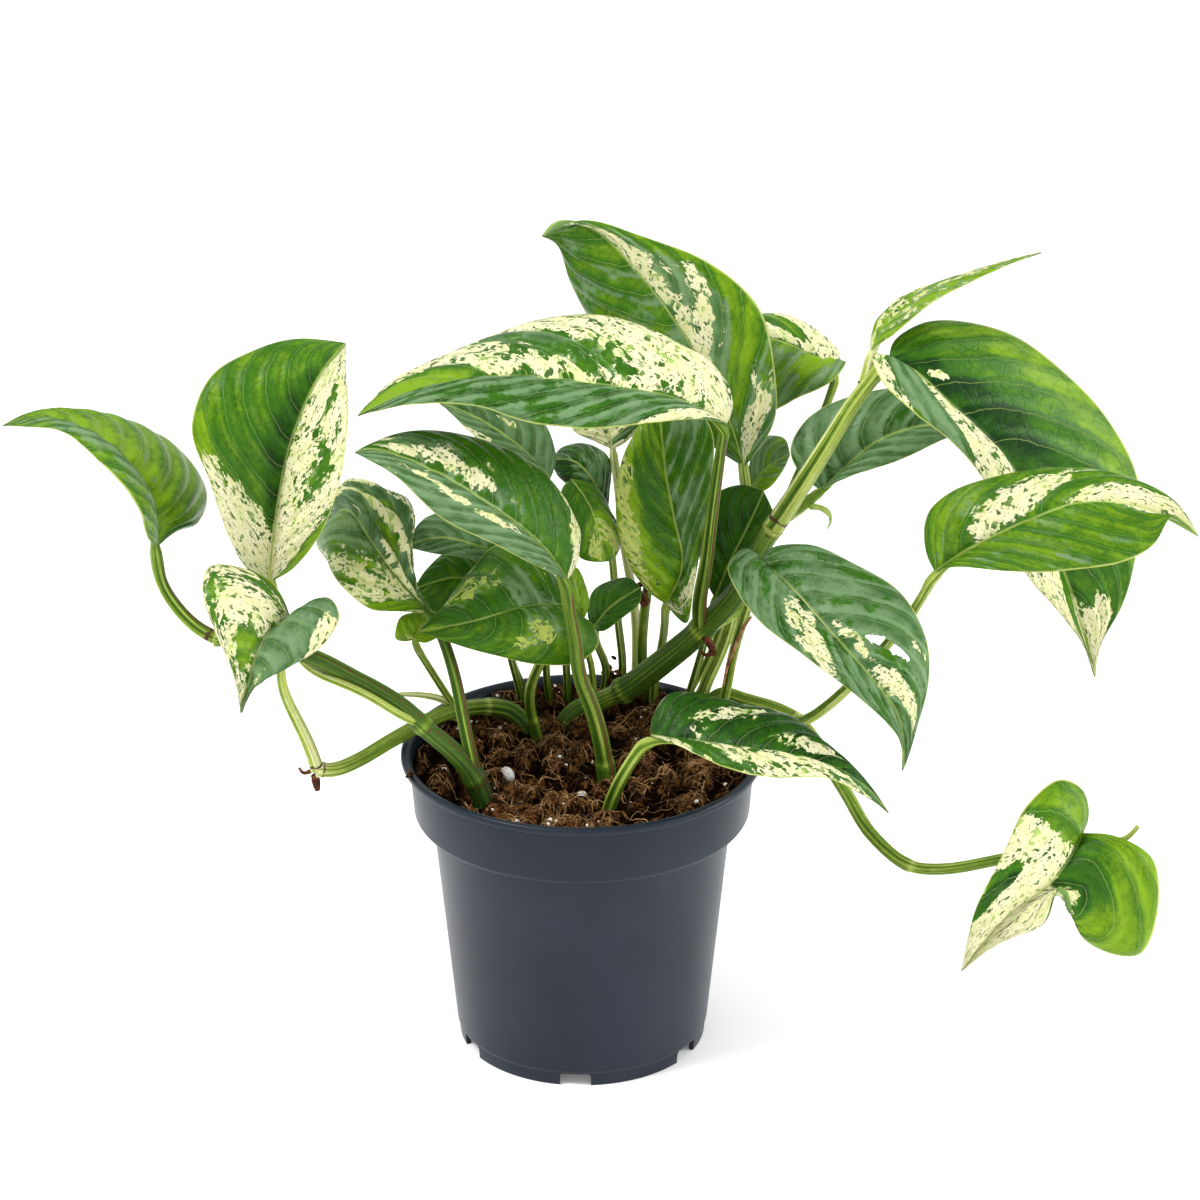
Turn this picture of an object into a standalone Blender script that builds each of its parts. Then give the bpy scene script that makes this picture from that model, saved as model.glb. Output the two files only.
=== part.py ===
"""A potted pothos: trailing vines, their leaves, the soil and the nursery pot they grow in.

Metres, +Z up. The origin is the centre of the pot's foot, on the surface it stands on. The front
of the plant is -Y and its right is +X.
"""
from math import cos, pi, radians, sin

import bmesh
import bpy
import numpy as np
from mathutils import Quaternion, Vector
from mathutils.bvhtree import BVHTree

MM = 0.001
GAP = 0.3 * MM  # kept between pieces that touch

# The pot: a thin-walled cone with a band at its top and a ring to stand on
POT_HEIGHT = 113 * MM
POT_SEGMENTS = 48
LIP_RADIUS = 65 * MM
BAND_TOP_RADIUS = 62 * MM
BAND_FOOT_RADIUS = 60.5 * MM
BAND_FOOT_HEIGHT = 89 * MM
BODY_TOP_RADIUS = 54 * MM
STEP_RADIUS = 45.9 * MM
STEP_HEIGHT = 6 * MM
FOOT_RADIUS = 45 * MM
WALL = 1.1 * MM
FOOT_WALL = 1.8 * MM
FLOOR_HEIGHT = 5.5 * MM
FLOOR_THICKNESS = 1.5 * MM
NOTCHES = 6
NOTCH_WIDTH = 9.7 * MM
NOTCH_HEIGHT = 4.9 * MM
FIRST_NOTCH_ANGLE = radians(-93)
DRAIN_RADIUS = 4 * MM
DRAIN_CIRCLE_RADIUS = 33 * MM

# The soil
SOIL_HEIGHT = 105 * MM
SOIL_HEAP = 0.8 * MM  # how much higher it is at its centre than at the wall

# The leaves
BLADE_THICKNESS = 0.8 * MM
BLADE_CAMBER = 0.10  # how far each half bulges upwards, as a share of its width
LARGE_BLADE = 70 * MM  # a midrib longer than this gets LARGE_BLADE_ROWS
LARGE_BLADE_ROWS = 11
SMALL_BLADE_ROWS = 8
BLADE_COLUMNS = (-1.0, -0.5, 0.0, 0.5, 1.0)  # from the left margin over the midrib to the right
STALK_SPACING = 9 * MM
VINE_SPACING = 8 * MM
END_RING = 1.5 * MM  # from a stem's end to its next ring, so that the end stays square to it

# Each blade in millimetres: its midrib from the stalk to the tip, then the points of its left and
# its right margin between those two ends, as seen from above the leaf with the stalk below.
LEAVES = {
    "far_left": (
        ((-146, -26, 202), (-147, -27, 219), (-157, -24, 232), (-174, -14, 240), (-189, -5, 242),
         (-201, 2, 236)),
        ((-147, -36, 209), (-149, -46, 223), (-158, -44, 237), (-172, -27, 242)),
        ((-141, -18, 204), (-133, -6, 203), (-131, 4, 209), (-140, 10, 222), (-158, 10, 235),
         (-176, 3, 241), (-187, -1, 242)),
    ),
    "upper_left": (
        ((-108, -21, 187), (-104, -28, 217), (-97, -29, 246), (-88, -22, 264), (-80, -8, 270)),
        ((-114, -24, 192), (-121, -33, 210), (-126, -36, 232), (-131, -34, 250), (-125, -26, 265),
         (-111, -18, 271), (-94, -10, 272)),
        ((-100, -27, 194), (-88, -41, 214), (-80, -48, 238), (-78, -42, 255), (-79, -28, 265)),
    ),
    "lower_left": (
        ((-100, -34, 178), (-107, -42, 177), (-111, -48, 171), (-114, -50, 161), (-117, -50, 150)),
        ((-95, -32, 182), (-88, -32, 186), (-83, -40, 182), (-89, -48, 174), (-99, -52, 169),
         (-111, -52, 162)),
        ((-103, -32, 186), (-112, -32, 195), (-127, -38, 200), (-129, -44, 194), (-124, -50, 180),
         (-119, -52, 166)),
    ),
    "curled": (
        ((-53, 4, 164), (-63, -6, 180), (-72, -8, 194), (-81, 2, 204), (-88, 14, 194), (-90, 20, 176)),
        ((-63, -8, 170), (-75, -20, 177), (-83, -20, 184), (-90, -6, 190), (-93, 8, 188)),
        ((-59, 6, 172), (-61, 6, 190), (-60, 8, 206), (-69, 14, 208), (-78, 18, 210), (-88, 24, 200),
         (-94, 24, 187)),
    ),
    "mid_left": (
        ((-5, -22, 188), (-14, -30, 205), (-31, -36, 222), (-50, -40, 236), (-72, -43, 245),
         (-76, -44, 244)),
        ((-12, -32, 196), (-29, -44, 210), (-48, -50, 224), (-64, -50, 239)),
        ((-1, -16, 193), (0, -12, 201), (-7, -10, 215), (-24, -14, 233), (-43, -22, 243),
         (-62, -32, 246)),
    ),
    "upper_long": (
        ((50, -12, 242), (33, -20, 254), (4, -26, 262), (-29, -30, 266), (-56, -34, 262),
         (-75, -38, 255)),
        ((40, -26, 249), (23, -36, 252), (1, -44, 252), (-16, -46, 255), (-34, -44, 261),
         (-55, -44, 261)),
        ((52, -6, 247), (47, 2, 257), (32, 8, 266), (11, 10, 273), (-11, 8, 273), (-32, 2, 269),
         (-54, -10, 263), (-66, -24, 260)),
    ),
    "top": (
        ((58, 34, 208), (50, 36, 232), (38, 40, 253), (20, 46, 277), (2, 50, 293), (-9, 50, 294),
         (-14, 50, 289)),
        ((50, 38, 212), (32, 48, 226), (10, 56, 246), (-4, 58, 268), (-9, 54, 285)),
        ((63, 33, 215), (69, 30, 229), (68, 30, 248), (62, 34, 268), (45, 40, 283), (21, 46, 291),
         (-1, 50, 295)),
    ),
    "back_right": (
        ((92, 50, 239), (83, 56, 242), (68, 64, 246), (45, 72, 241)),
        ((94, 44, 244), (89, 42, 238), (77, 46, 229), (64, 56, 221), (51, 66, 227)),
        ((92, 60, 243), (84, 70, 248), (70, 77, 251), (54, 78, 247)),
    ),
    "young": (
        ((100, 6, 262), (106, 9, 271), (119, 12, 280), (139, 13, 289), (158, 12, 296)),
        ((102, 18, 267), (112, 24, 274), (128, 24, 281), (145, 17, 290)),
        ((105, 2, 268), (114, 0, 276), (126, 2, 285), (144, 9, 291)),
    ),
    "right_tall": (
        ((106, 2, 261), (115, 0, 257), (127, -2, 246), (146, 0, 226), (166, 6, 190), (177, 8, 160),
         (184, 8, 137)),
        ((108, 8, 265), (119, 14, 270), (146, 22, 264), (168, 25, 248), (186, 24, 230), (197, 20, 209),
         (196, 14, 180), (192, 10, 164), (185, 8, 149)),
        ((100, -2, 264), (103, -12, 257), (114, -20, 248), (128, -20, 237), (139, -16, 223),
         (155, -6, 184), (169, 2, 165), (179, 6, 150)),
    ),
    "right_low": (
        ((121, -38, 198), (132, -46, 210), (151, -54, 224), (167, -56, 231), (187, -58, 230),
         (206, -64, 222)),
        ((118, -34, 204), (119, -32, 217), (126, -34, 226), (142, -36, 233), (165, -38, 236),
         (184, -45, 236), (198, -56, 232)),
        ((127, -48, 204), (144, -61, 208), (163, -68, 211), (180, -68, 214), (191, -66, 220),
         (197, -64, 229)),
    ),
    "behind_stem": (
        ((85, 24, 203), (94, 28, 210), (106, 32, 219), (122, 36, 223), (140, 40, 221)),
        ((79, 26, 207), (74, 30, 216), (79, 36, 224), (96, 42, 232), (115, 46, 234), (130, 46, 229)),
        ((93, 20, 209), (109, 22, 214), (129, 30, 220)),
    ),
    "right_mid": (
        ((62, -12, 191), (71, -24, 188), (86, -42, 177), (100, -54, 164), (108, -60, 154),
         (110, -64, 135)),
        ((66, -10, 195), (78, -12, 197), (93, -20, 194), (110, -32, 188), (118, -42, 175),
         (119, -50, 163), (114, -60, 146)),
        ((57, -12, 196), (51, -16, 192), (54, -26, 185), (62, -40, 179), (76, -54, 174),
         (95, -62, 161), (108, -66, 148)),
    ),
    "front": (
        ((24, -44, 139), (35, -50, 140), (55, -56, 140), (75, -60, 138), (94, -62, 131),
         (106, -62, 118)),
        ((25, -36, 142), (31, -30, 148), (41, -28, 148), (57, -32, 145), (74, -38, 142),
         (87, -48, 136), (99, -58, 126)),
        ((32, -58, 142), (48, -71, 140), (66, -76, 139), (84, -73, 136), (96, -66, 127)),
    ),
    "low_right": (
        ((175, -48, 103), (170, -56, 98), (162, -62, 90), (149, -64, 80), (133, -62, 56)),
        ((185, -54, 105), (198, -58, 99), (201, -60, 88), (195, -60, 62), (175, -64, 70),
         (168, -64, 88), (166, -64, 90), (161, -66, 78), (146, -66, 70)),
        ((177, -46, 109), (175, -44, 117), (166, -46, 123), (155, -54, 118), (145, -64, 102),
         (137, -68, 87), (134, -66, 69)),
    ),
    "centre": (
        ((30, 20, 161), (36, 14, 180), (33, 14, 196), (30, 18, 210), (28, 26, 225), (26, 34, 239)),
        ((23, 16, 168), (15, 12, 184), (12, 13, 200), (14, 19, 216), (20, 28, 226), (24, 33, 234)),
        ((37, 16, 155), (40, 13, 171), (43, 13, 192), (46, 15, 211), (46, 21, 227), (37, 30, 236)),
    ),
    "dark_upper": (
        ((9, 28, 193), (4, 28, 205), (-2, 31, 211), (-11, 36, 210)),
        ((4, 24, 197), (-3, 26, 202), (-9, 32, 206)),
        ((10, 34, 200), (9, 38, 211), (2, 42, 214), (-7, 42, 212)),
    ),
    "dark_lower": (
        ((-4, 20, 209), (2, 14, 203), (6, 11, 193), (8, 11, 181)),
        ((4, 24, 205), (10, 23, 197), (14, 20, 186), (12, 15, 181)),
        ((-8, 12, 204), (-5, 8, 193), (0, 9, 183)),
    ),
    "under_long": (
        ((-11, 18, 210), (-22, 18, 222), (-35, 20, 231), (-50, 22, 237)),
        ((-18, 10, 216), (-29, 10, 222), (-40, 14, 230)),
        ((-9, 24, 217), (-12, 28, 225), (-22, 30, 232), (-37, 28, 237)),
    ),
    "striped": (
        ((-22, 18, 178), (-36, 15, 185), (-50, 14, 189), (-62, 15, 185)),
        ((-29, 16, 175), (-41, 14, 181), (-54, 12, 184)),
        ((-27, 24, 187), (-43, 24, 195), (-56, 20, 194)),
    ),
    "dark_left": (
        ((-35, 22, 165), (-44, 18, 172), (-53, 16, 171), (-60, 16, 168)),
        ((-40, 16, 160), (-50, 14, 158), (-56, 14, 163)),
        ((-35, 28, 173), (-47, 26, 179), (-55, 20, 175)),
    ),
    "broad_front": (
        ((-7, -6, 172), (-19, -10, 173), (-38, -14, 169), (-57, -14, 165)),
        ((-2, -2, 167), (4, 0, 161), (6, -3, 156), (1, -9, 152), (-15, -16, 153), (-32, -20, 159),
         (-47, -18, 163)),
        ((-9, 4, 178), (-19, 10, 186), (-30, 10, 188), (-39, 4, 181), (-48, -6, 172)),
    ),
    "small_right": (
        ((4, 22, 150), (10, 18, 160), (21, 18, 168)),
        ((2, 26, 158), (6, 26, 165), (17, 22, 170)),
        ((8, 16, 152), (16, 14, 159), (21, 15, 164)),
    ),
    "dark_right": (
        ((48, 32, 158), (53, 29, 173), (59, 27, 187), (65, 28, 201)),
        ((44, 33, 166), (42, 33, 182), (47, 32, 198), (57, 32, 202)),
        ((56, 31, 160), (66, 26, 175), (69, 25, 191)),
    ),
    "back_tip": (
        ((60, 46, 194), (67, 44, 204), (75, 48, 207)),
        ((61, 54, 202), (67, 58, 211), (73, 54, 211)),
        ((65, 42, 195), (71, 42, 201)),
    ),
    "cream_top": (
        ((11, 36, 214), (9, 38, 223), (6, 42, 234)),
        ((5, 38, 216), (-3, 40, 220), (-3, 44, 228)),
        ((16, 36, 217), (21, 37, 224), (17, 41, 232)),
    ),
    "lime": (
        ((-60, 6, 153), (-57, 6, 158), (-52, 10, 161)),
        ((-66, 2, 155), (-65, 4, 162), (-58, 8, 163)),
        ((-55, 6, 152), (-50, 10, 154)),
    ),
    "behind_base": (
        ((-1, 4, 160), (-1, 2, 170), (-4, 6, 182)),
        ((-4, 2, 165), (-5, 2, 174)),
        ((2, 6, 164), (2, 6, 172), (-1, 8, 179)),
    ),
}

# Each stem in millimetres: what carries it, its radii at even distances along it, and its route.
STEMS = {
    "vine_left_low": (
        "soil",
        (3.2, 3.2, 2.9),
        ((-17, 34, 98), (-27, 38, 112), (-37, 34, 117), (-46, 24, 119), (-55, 15, 120), (-59, 8, 120),
         (-72, -1, 113), (-86, -8, 110), (-94, -15, 112)),
    ),
    "vine_left_high": (
        "soil",
        (4, 3.8, 3.2),
        ((-34, -24, 97), (-35, -24, 105), (-40, -24, 117), (-53, -25, 136), (-65, -26, 147),
         (-79, -27, 155), (-91, -28, 162), (-108, -29, 167), (-127, -30, 170)),
    ),
    "vine_right_main": (
        "soil",
        (4.8, 4.6, 3.3),
        ((-9, 40, 98), (-3, 42, 108), (6, 44, 111), (16, 42, 117), (28, 37, 129), (43, 30, 146),
         (56, 22, 165), (62, 17, 181), (68, 14, 193)),
    ),
    "vine_right_low": (
        "soil",
        (2.9, 2.7, 2.4, 2.3, 2.1, 0.8),
        ((40, 28, 98), (51, 31, 120), (59, 28, 119), (73, 20, 118), (78, 17, 116), (94, -10, 101),
         (103, -30, 93), (116, -42, 87), (126, -44, 87), (147, -46, 92), (167, -46, 97),
         (175, -48, 102), (184, -48, 100), (190, -48, 101), (194, -48, 106)),
    ),
    "far_left": (
        "vine_left_high",
        (2.6, 2),
        ((-127, -30, 170), (-132, -30, 172), (-137, -29, 177), (-143, -28, 185), (-146, -27, 191),
         (-146, -26, 202)),
    ),
    "upper_left": (
        "vine_left_high",
        (1.9, 1.7),
        ((-49, -31, 132), (-58, -31, 138), (-67, -31, 144), (-79, -31, 151), (-90, -24, 151),
         (-98, -20, 157), (-103, -20, 168), (-108, -21, 187)),
    ),
    "lower_left": (
        "vine_left_low",
        (2.6, 1.4),
        ((-94, -15, 112), (-96, -18, 122), (-100, -24, 136), (-104, -30, 150), (-104, -36, 161),
         (-103, -37, 171), (-100, -34, 178)),
    ),
    "curled": (
        "vine_left_high",
        (2.5, 2),
        ((-38, -24, 120), (-41, -22, 131), (-44, -16, 147), (-47, -8, 154), (-50, 0, 159),
         (-53, 4, 164)),
    ),
    "mid_left": (
        "soil",
        (3.6, 2.2),
        ((9, -11, 97), (9, -11, 105), (8, -12, 115), (3, -15, 139), (-1, -17, 149), (-2, -19, 164),
         (-5, -22, 181), (-5, -22, 188)),
    ),
    "upper_long": (
        "vine_right_main",
        (3, 1.8),
        ((42, 22, 160), (44, 14, 177), (46, 4, 204), (48, -4, 226), (49, -10, 238), (50, -12, 242)),
    ),
    "top": (
        "soil",
        (2.6, 1.9),
        ((43, 37, 98), (44, 36, 119), (50, 36, 133), (54, 38, 145), (58, 42, 169), (59, 40, 192),
         (58, 34, 208)),
    ),
    "back_right": (
        "soil",
        (1.9, 1.6),
        ((35, 41, 98), (48, 43, 125), (60, 46, 151), (68, 48, 174), (79, 50, 201), (88, 50, 226),
         (92, 50, 239)),
    ),
    "right_tall": (
        "vine_right_main",
        (4, 2.4),
        ((68, 14, 193), (77, 12, 209), (87, 9, 228), (95, 6, 244), (101, 4, 253), (106, 2, 261)),
    ),
    "young": (
        "right_tall",
        (2, 1.6),
        ((97, 7, 248), (99, 8, 254), (100, 6, 262)),
    ),
    "right_low": (
        "vine_right_low",
        (2.2, 1.8),
        ((78, 17, 116), (80, 12, 118), (93, -4, 137), (107, -18, 162), (116, -28, 181), (121, -38, 198)),
    ),
    "behind_stem": (
        "right_tall",
        (2, 1.8),
        ((72, 13, 197), (76, 20, 196), (80, 23, 199), (85, 24, 203)),
    ),
    "right_mid": (
        "soil",
        (2, 1.8),
        ((49, 21, 98), (51, 24, 119), (52, 23, 123), (54, 18, 140), (57, 8, 158), (60, -6, 177),
         (62, -12, 191)),
    ),
    "front": (
        "soil",
        (2.8, 2),
        ((8, -35, 98), (9, -36, 105), (13, -40, 119), (19, -42, 131), (24, -44, 139)),
    ),
    "centre": (
        "soil",
        (1.8, 1.6),
        ((26, 48, 98), (27, 50, 119), (29, 46, 131), (30, 34, 146), (30, 20, 161)),
    ),
    "dark_upper": (
        "soil",
        (1.6, 1.4),
        ((13, 55, 98), (15, 52, 120), (13, 42, 145), (11, 34, 172), (9, 28, 193)),
    ),
    "dark_lower": (
        "soil",
        (1.6, 1.4),
        ((-5, 54, 98), (-6, 46, 126), (-7, 36, 147), (-8, 28, 174), (-7, 24, 199), (-4, 20, 209)),
    ),
    "under_long": (
        "soil",
        (1.5, 1.4),
        ((-10, 52, 98), (-13, 48, 115), (-13, 36, 147), (-14, 28, 174), (-13, 24, 199), (-11, 18, 210)),
    ),
    "striped": (
        "soil",
        (1.5, 1.4),
        ((-21, 52, 98), (-24, 46, 119), (-26, 38, 131), (-27, 28, 151), (-24, 21, 168), (-22, 18, 178)),
    ),
    "dark_left": (
        "soil",
        (1.3, 1.2),
        ((-16, 54, 98), (-26, 48, 126), (-30, 36, 147), (-35, 22, 165)),
    ),
    "broad_front": (
        "soil",
        (2.2, 1.7),
        ((-15, 28, 98), (-19, 26, 116), (-19, 22, 127), (-15, 16, 139), (-11, 6, 155), (-7, -6, 172)),
    ),
    "small_right": (
        "soil",
        (1.7, 1.4),
        ((5, 56, 98), (8, 54, 111), (9, 48, 123), (6, 36, 136), (4, 22, 150)),
    ),
    "dark_right": (
        "soil",
        (1.6, 1.4),
        ((34, 37, 98), (43, 40, 130), (46, 36, 145), (48, 32, 158)),
    ),
    "back_tip": (
        "soil",
        (1.5, 1.3),
        ((29, 44, 98), (48, 48, 130), (54, 50, 153), (58, 49, 177), (60, 46, 194)),
    ),
    "cream_top": (
        "soil",
        (2, 1.5),
        ((19, 53, 98), (20, 56, 120), (20, 54, 133), (19, 48, 150), (15, 42, 176), (13, 40, 198),
         (11, 36, 214)),
    ),
    "lime": (
        "vine_left_low",
        (1.5, 1.3),
        ((-46, 24, 119), (-52, 20, 130), (-56, 13, 141), (-59, 8, 149), (-60, 6, 153)),
    ),
    "behind_base": (
        "soil",
        (1.3, 1.2),
        ((4, 34, 98), (4, 26, 128), (3, 18, 140), (1, 10, 149), (-1, 4, 160)),
    ),
    "cut_stalk": (
        "soil",
        (2, 1.8),
        ((24, 52, 98), (22, 50, 124), (22, 46, 137), (23, 42, 151), (24, 40, 160)),
    ),
    "shoot": (
        "vine_left_low",
        (1.6, 0.8),
        ((-49, 24, 122), (-57, 22, 125), (-66, 18, 127)),
    ),
}

VINES = ("vine_left_high", "vine_left_low", "vine_right_main", "vine_right_low")
LOOSE_STEMS = ("cut_stalk", "shoot")  # stems that end without a leaf
FUSED_LEAVES = ("young", "back_tip", "lime", "behind_base")  # small leaves, one piece with the stalk

POT_GREY = (0.048, 0.058, 0.074)
SOIL_BROWN = (0.050, 0.024, 0.012)
LEAF_GREEN = (0.060, 0.190, 0.028)
STEM_GREEN = (0.140, 0.260, 0.050)
STALK_GREEN = (0.190, 0.330, 0.070)


def clear_scene():
    for thing in list(bpy.data.objects):
        bpy.data.objects.remove(thing, do_unlink=True)


def material(name, colour, roughness):
    made = bpy.data.materials.new(name)
    made.use_nodes = True
    shader = made.node_tree.nodes["Principled BSDF"]
    shader.inputs["Base Color"].default_value = (*colour, 1.0)
    shader.inputs["Roughness"].default_value = roughness
    shader.inputs["Metallic"].default_value = 0.0
    return made


def add_object(name, mesh, finish=None):
    if finish:
        mesh.materials.append(finish)
    made = bpy.data.objects.new(name, mesh)
    bpy.context.collection.objects.link(made)
    return made


def hide(helper):
    helper.hide_render = True
    helper.display_type = "WIRE"


def cut(target, cutter, operation="DIFFERENCE"):
    boolean = target.modifiers.new(cutter.name, "BOOLEAN")
    boolean.operation = operation
    boolean.solver = "EXACT"
    boolean.object = cutter


def smooth_curve(points, at):
    """Points at the given shares of a smooth curve through the given ones."""
    points = np.array(points, float)
    steps = np.linalg.norm(np.diff(points, axis=0), axis=1) ** 0.75
    knots = np.concatenate(([0.0], np.cumsum(steps))) / steps.sum()
    widths = np.diff(knots)[:, None]
    slopes = np.diff(points, axis=0) / widths
    tangents = np.empty_like(points)
    tangents[1:-1] = (slopes[:-1] * widths[1:] + slopes[1:] * widths[:-1]) / (widths[1:] + widths[:-1])
    tangents[0] = 1.5 * slopes[0] - 0.5 * tangents[1]
    tangents[-1] = 1.5 * slopes[-1] - 0.5 * tangents[-2]
    at = np.asarray(at, float)
    span = np.clip(np.searchsorted(knots, at, side="right") - 1, 0, len(widths) - 1)
    width = widths[span]
    x = (at[:, None] - knots[span][:, None]) / width
    return (
        (2 * x**3 - 3 * x**2 + 1) * points[span]
        + (x**3 - 2 * x**2 + x) * width * tangents[span]
        + (3 * x**2 - 2 * x**3) * points[span + 1]
        + (x**3 - x**2) * width * tangents[span + 1]
    )


def lengths_along(route):
    steps = np.linalg.norm(np.diff(route, axis=0), axis=1)
    return np.concatenate(([0.0], np.cumsum(steps)))


# Pot and soil


def turned(name, profile, finish):
    """A solid of revolution. The profile's (radius, height) points run down its outer side."""
    mesh = bpy.data.meshes.new(name)
    points = [(radius, 0.0, height) for radius, height in profile]
    mesh.from_pydata(points, [(i, i + 1) for i in range(len(points) - 1)], [])
    made = add_object(name, mesh, finish)
    screw = made.modifiers.new("turn", "SCREW")
    screw.angle = 2 * pi
    screw.steps = POT_SEGMENTS
    screw.render_steps = POT_SEGMENTS
    screw.use_merge_vertices = True
    screw.merge_threshold = 0.00001
    return made


def pot_inside():
    """The inner side of the pot's wall as (radius, height), from the floor up to the shelf's top."""
    return [
        (STEP_RADIUS - WALL, FLOOR_HEIGHT + FLOOR_THICKNESS),
        (BODY_TOP_RADIUS - WALL, BAND_FOOT_HEIGHT),
        (BAND_FOOT_RADIUS - WALL - 2 * MM, BAND_FOOT_HEIGHT + 1 * MM),
        (BAND_FOOT_RADIUS - WALL, BAND_FOOT_HEIGHT + 2.6 * MM),
    ]


def pot():
    outside = [
        (LIP_RADIUS - 1.0 * MM, POT_HEIGHT),
        (LIP_RADIUS, POT_HEIGHT - 0.7 * MM),
        (LIP_RADIUS, POT_HEIGHT - 2.4 * MM),
        (LIP_RADIUS - 0.8 * MM, POT_HEIGHT - 3.0 * MM),
        (BAND_TOP_RADIUS, POT_HEIGHT - 3.3 * MM),
        (BAND_FOOT_RADIUS, BAND_FOOT_HEIGHT + 1.6 * MM),
        (BAND_FOOT_RADIUS - 0.7 * MM, BAND_FOOT_HEIGHT + 0.4 * MM),
        (BAND_FOOT_RADIUS - 2.0 * MM, BAND_FOOT_HEIGHT - 0.2 * MM),
        (BODY_TOP_RADIUS, BAND_FOOT_HEIGHT - 1.0 * MM),
        (STEP_RADIUS, STEP_HEIGHT),
        (STEP_RADIUS - 0.5 * MM, STEP_HEIGHT - 0.6 * MM),
        (FOOT_RADIUS, 0.0),
    ]
    underside = [
        (FOOT_RADIUS - FOOT_WALL, 0.0),
        (FOOT_RADIUS - FOOT_WALL + 0.2 * MM, FLOOR_HEIGHT),
        (0.0, FLOOR_HEIGHT),
    ]
    mouth = [
        (BAND_TOP_RADIUS - WALL, POT_HEIGHT - 3.0 * MM),
        (LIP_RADIUS - 2.3 * MM, POT_HEIGHT - 1.4 * MM),
        (LIP_RADIUS - 2.1 * MM, POT_HEIGHT),
    ]
    floor_centre = [(0.0, FLOOR_HEIGHT + FLOOR_THICKNESS)]
    profile = outside + underside + floor_centre + pot_inside() + mouth + outside[:1]
    made = turned("pot", profile, material("pot_plastic", POT_GREY, 0.42))
    for number in range(NOTCHES):
        angle = FIRST_NOTCH_ANGLE + number * 2 * pi / NOTCHES
        cut(made, notch_cutter(number, angle))
        cut(made, drain_cutter(number, angle + pi / NOTCHES))
    return made


def notch_cutter(number, angle):
    """A box across the foot ring, open downwards."""
    shape = bmesh.new()
    bmesh.ops.create_cube(shape, size=1.0)
    bmesh.ops.scale(shape, vec=(12 * MM, NOTCH_WIDTH, 2 * NOTCH_HEIGHT), verts=shape.verts)
    return cutter_object(f"notch_cutter_{number}", shape, FOOT_RADIUS, angle, 0.0)


def drain_cutter(number, angle):
    shape = bmesh.new()
    bmesh.ops.create_cone(
        shape, cap_ends=True, segments=12, radius1=DRAIN_RADIUS, radius2=DRAIN_RADIUS, depth=6 * MM
    )
    height = FLOOR_HEIGHT + FLOOR_THICKNESS / 2
    return cutter_object(f"drain_cutter_{number}", shape, DRAIN_CIRCLE_RADIUS, angle, height)


def cutter_object(name, shape, distance, angle, height):
    mesh = bpy.data.meshes.new(name)
    shape.to_mesh(mesh)
    shape.free()
    made = add_object(name, mesh)
    made.location = (distance * cos(angle), distance * sin(angle), height)
    made.rotation_euler.z = angle
    hide(made)
    return made


def soil():
    """The soil fills the pot to just under the lip, a gap away from the wall and the floor."""
    clearance = 1.3 * GAP
    edge = SOIL_HEIGHT - SOIL_HEAP
    filled = (edge - BAND_FOOT_HEIGHT) / (POT_HEIGHT - BAND_FOOT_HEIGHT)
    edge_radius = BAND_FOOT_RADIUS - WALL + filled * (BAND_TOP_RADIUS - BAND_FOOT_RADIUS)
    wall = [(radius - clearance, height + clearance) for radius, height in pot_inside()]
    surface = [
        (0.0, SOIL_HEIGHT),
        (0.6 * edge_radius, SOIL_HEIGHT - 0.3 * SOIL_HEAP),
        (edge_radius - clearance, edge),
    ]
    bottom = [(0.0, wall[0][1])]
    return turned("soil", surface + wall[::-1] + bottom, material("soil_peat", SOIL_BROWN, 0.95))


# Leaves


def blade_grid(midrib, left, right, rows):
    """The blade's points as rows along the midrib and columns across, bulging on each side."""
    at = np.linspace(0.0, 1.0, rows)
    spine = smooth_curve(midrib, at)
    margins = {
        -1.0: smooth_curve((midrib[0], *left, midrib[-1]), at),
        1.0: smooth_curve((midrib[0], *right, midrib[-1]), at),
    }
    upwards = np.cross(margins[1.0] - margins[-1.0], np.gradient(spine, axis=0))
    upwards /= np.linalg.norm(upwards, axis=1)[:, None] + 1e-9
    halves = [np.linalg.norm(margin - spine, axis=1) for margin in margins.values()]
    width = (halves[0] + halves[1])[:, None] / 2
    columns = []
    for across in BLADE_COLUMNS:
        out = abs(across)
        side = margins[np.copysign(1.0, across)]
        bulge = BLADE_CAMBER * width * 4 * out * (1 - out)
        columns.append(spine + out * (side - spine) + upwards * bulge)
    return np.stack(columns, axis=1) * MM


def blade(name, outline, finish):
    """A leaf's blade: a sheet with a pointed base and tip, thickened on both sides."""
    length = lengths_along(np.array(outline[0], float))[-1] * MM
    rows = LARGE_BLADE_ROWS if length > LARGE_BLADE else SMALL_BLADE_ROWS
    grid = blade_grid(*outline, rows)
    shape = bmesh.new()
    base = shape.verts.new(grid[0, 0])
    tip = shape.verts.new(grid[-1, 0])
    inner = [[shape.verts.new(place) for place in row] for row in grid[1:-1]]
    for a, b in zip(inner[0], inner[0][1:]):
        shape.faces.new((base, b, a))
    for low, high in zip(inner, inner[1:]):
        for i in range(len(low) - 1):
            shape.faces.new((low[i], low[i + 1], high[i + 1], high[i]))
    for a, b in zip(inner[-1], inner[-1][1:]):
        shape.faces.new((tip, a, b))
    bmesh.ops.recalc_face_normals(shape, faces=shape.faces)
    mesh = bpy.data.meshes.new(name)
    shape.to_mesh(mesh)
    shape.free()
    mesh.shade_smooth()
    made = add_object(name, mesh, finish)
    thicken = made.modifiers.new("thickness", "SOLIDIFY")
    thicken.thickness = BLADE_THICKNESS
    thicken.offset = 0.0
    return made


# Stems


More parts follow.
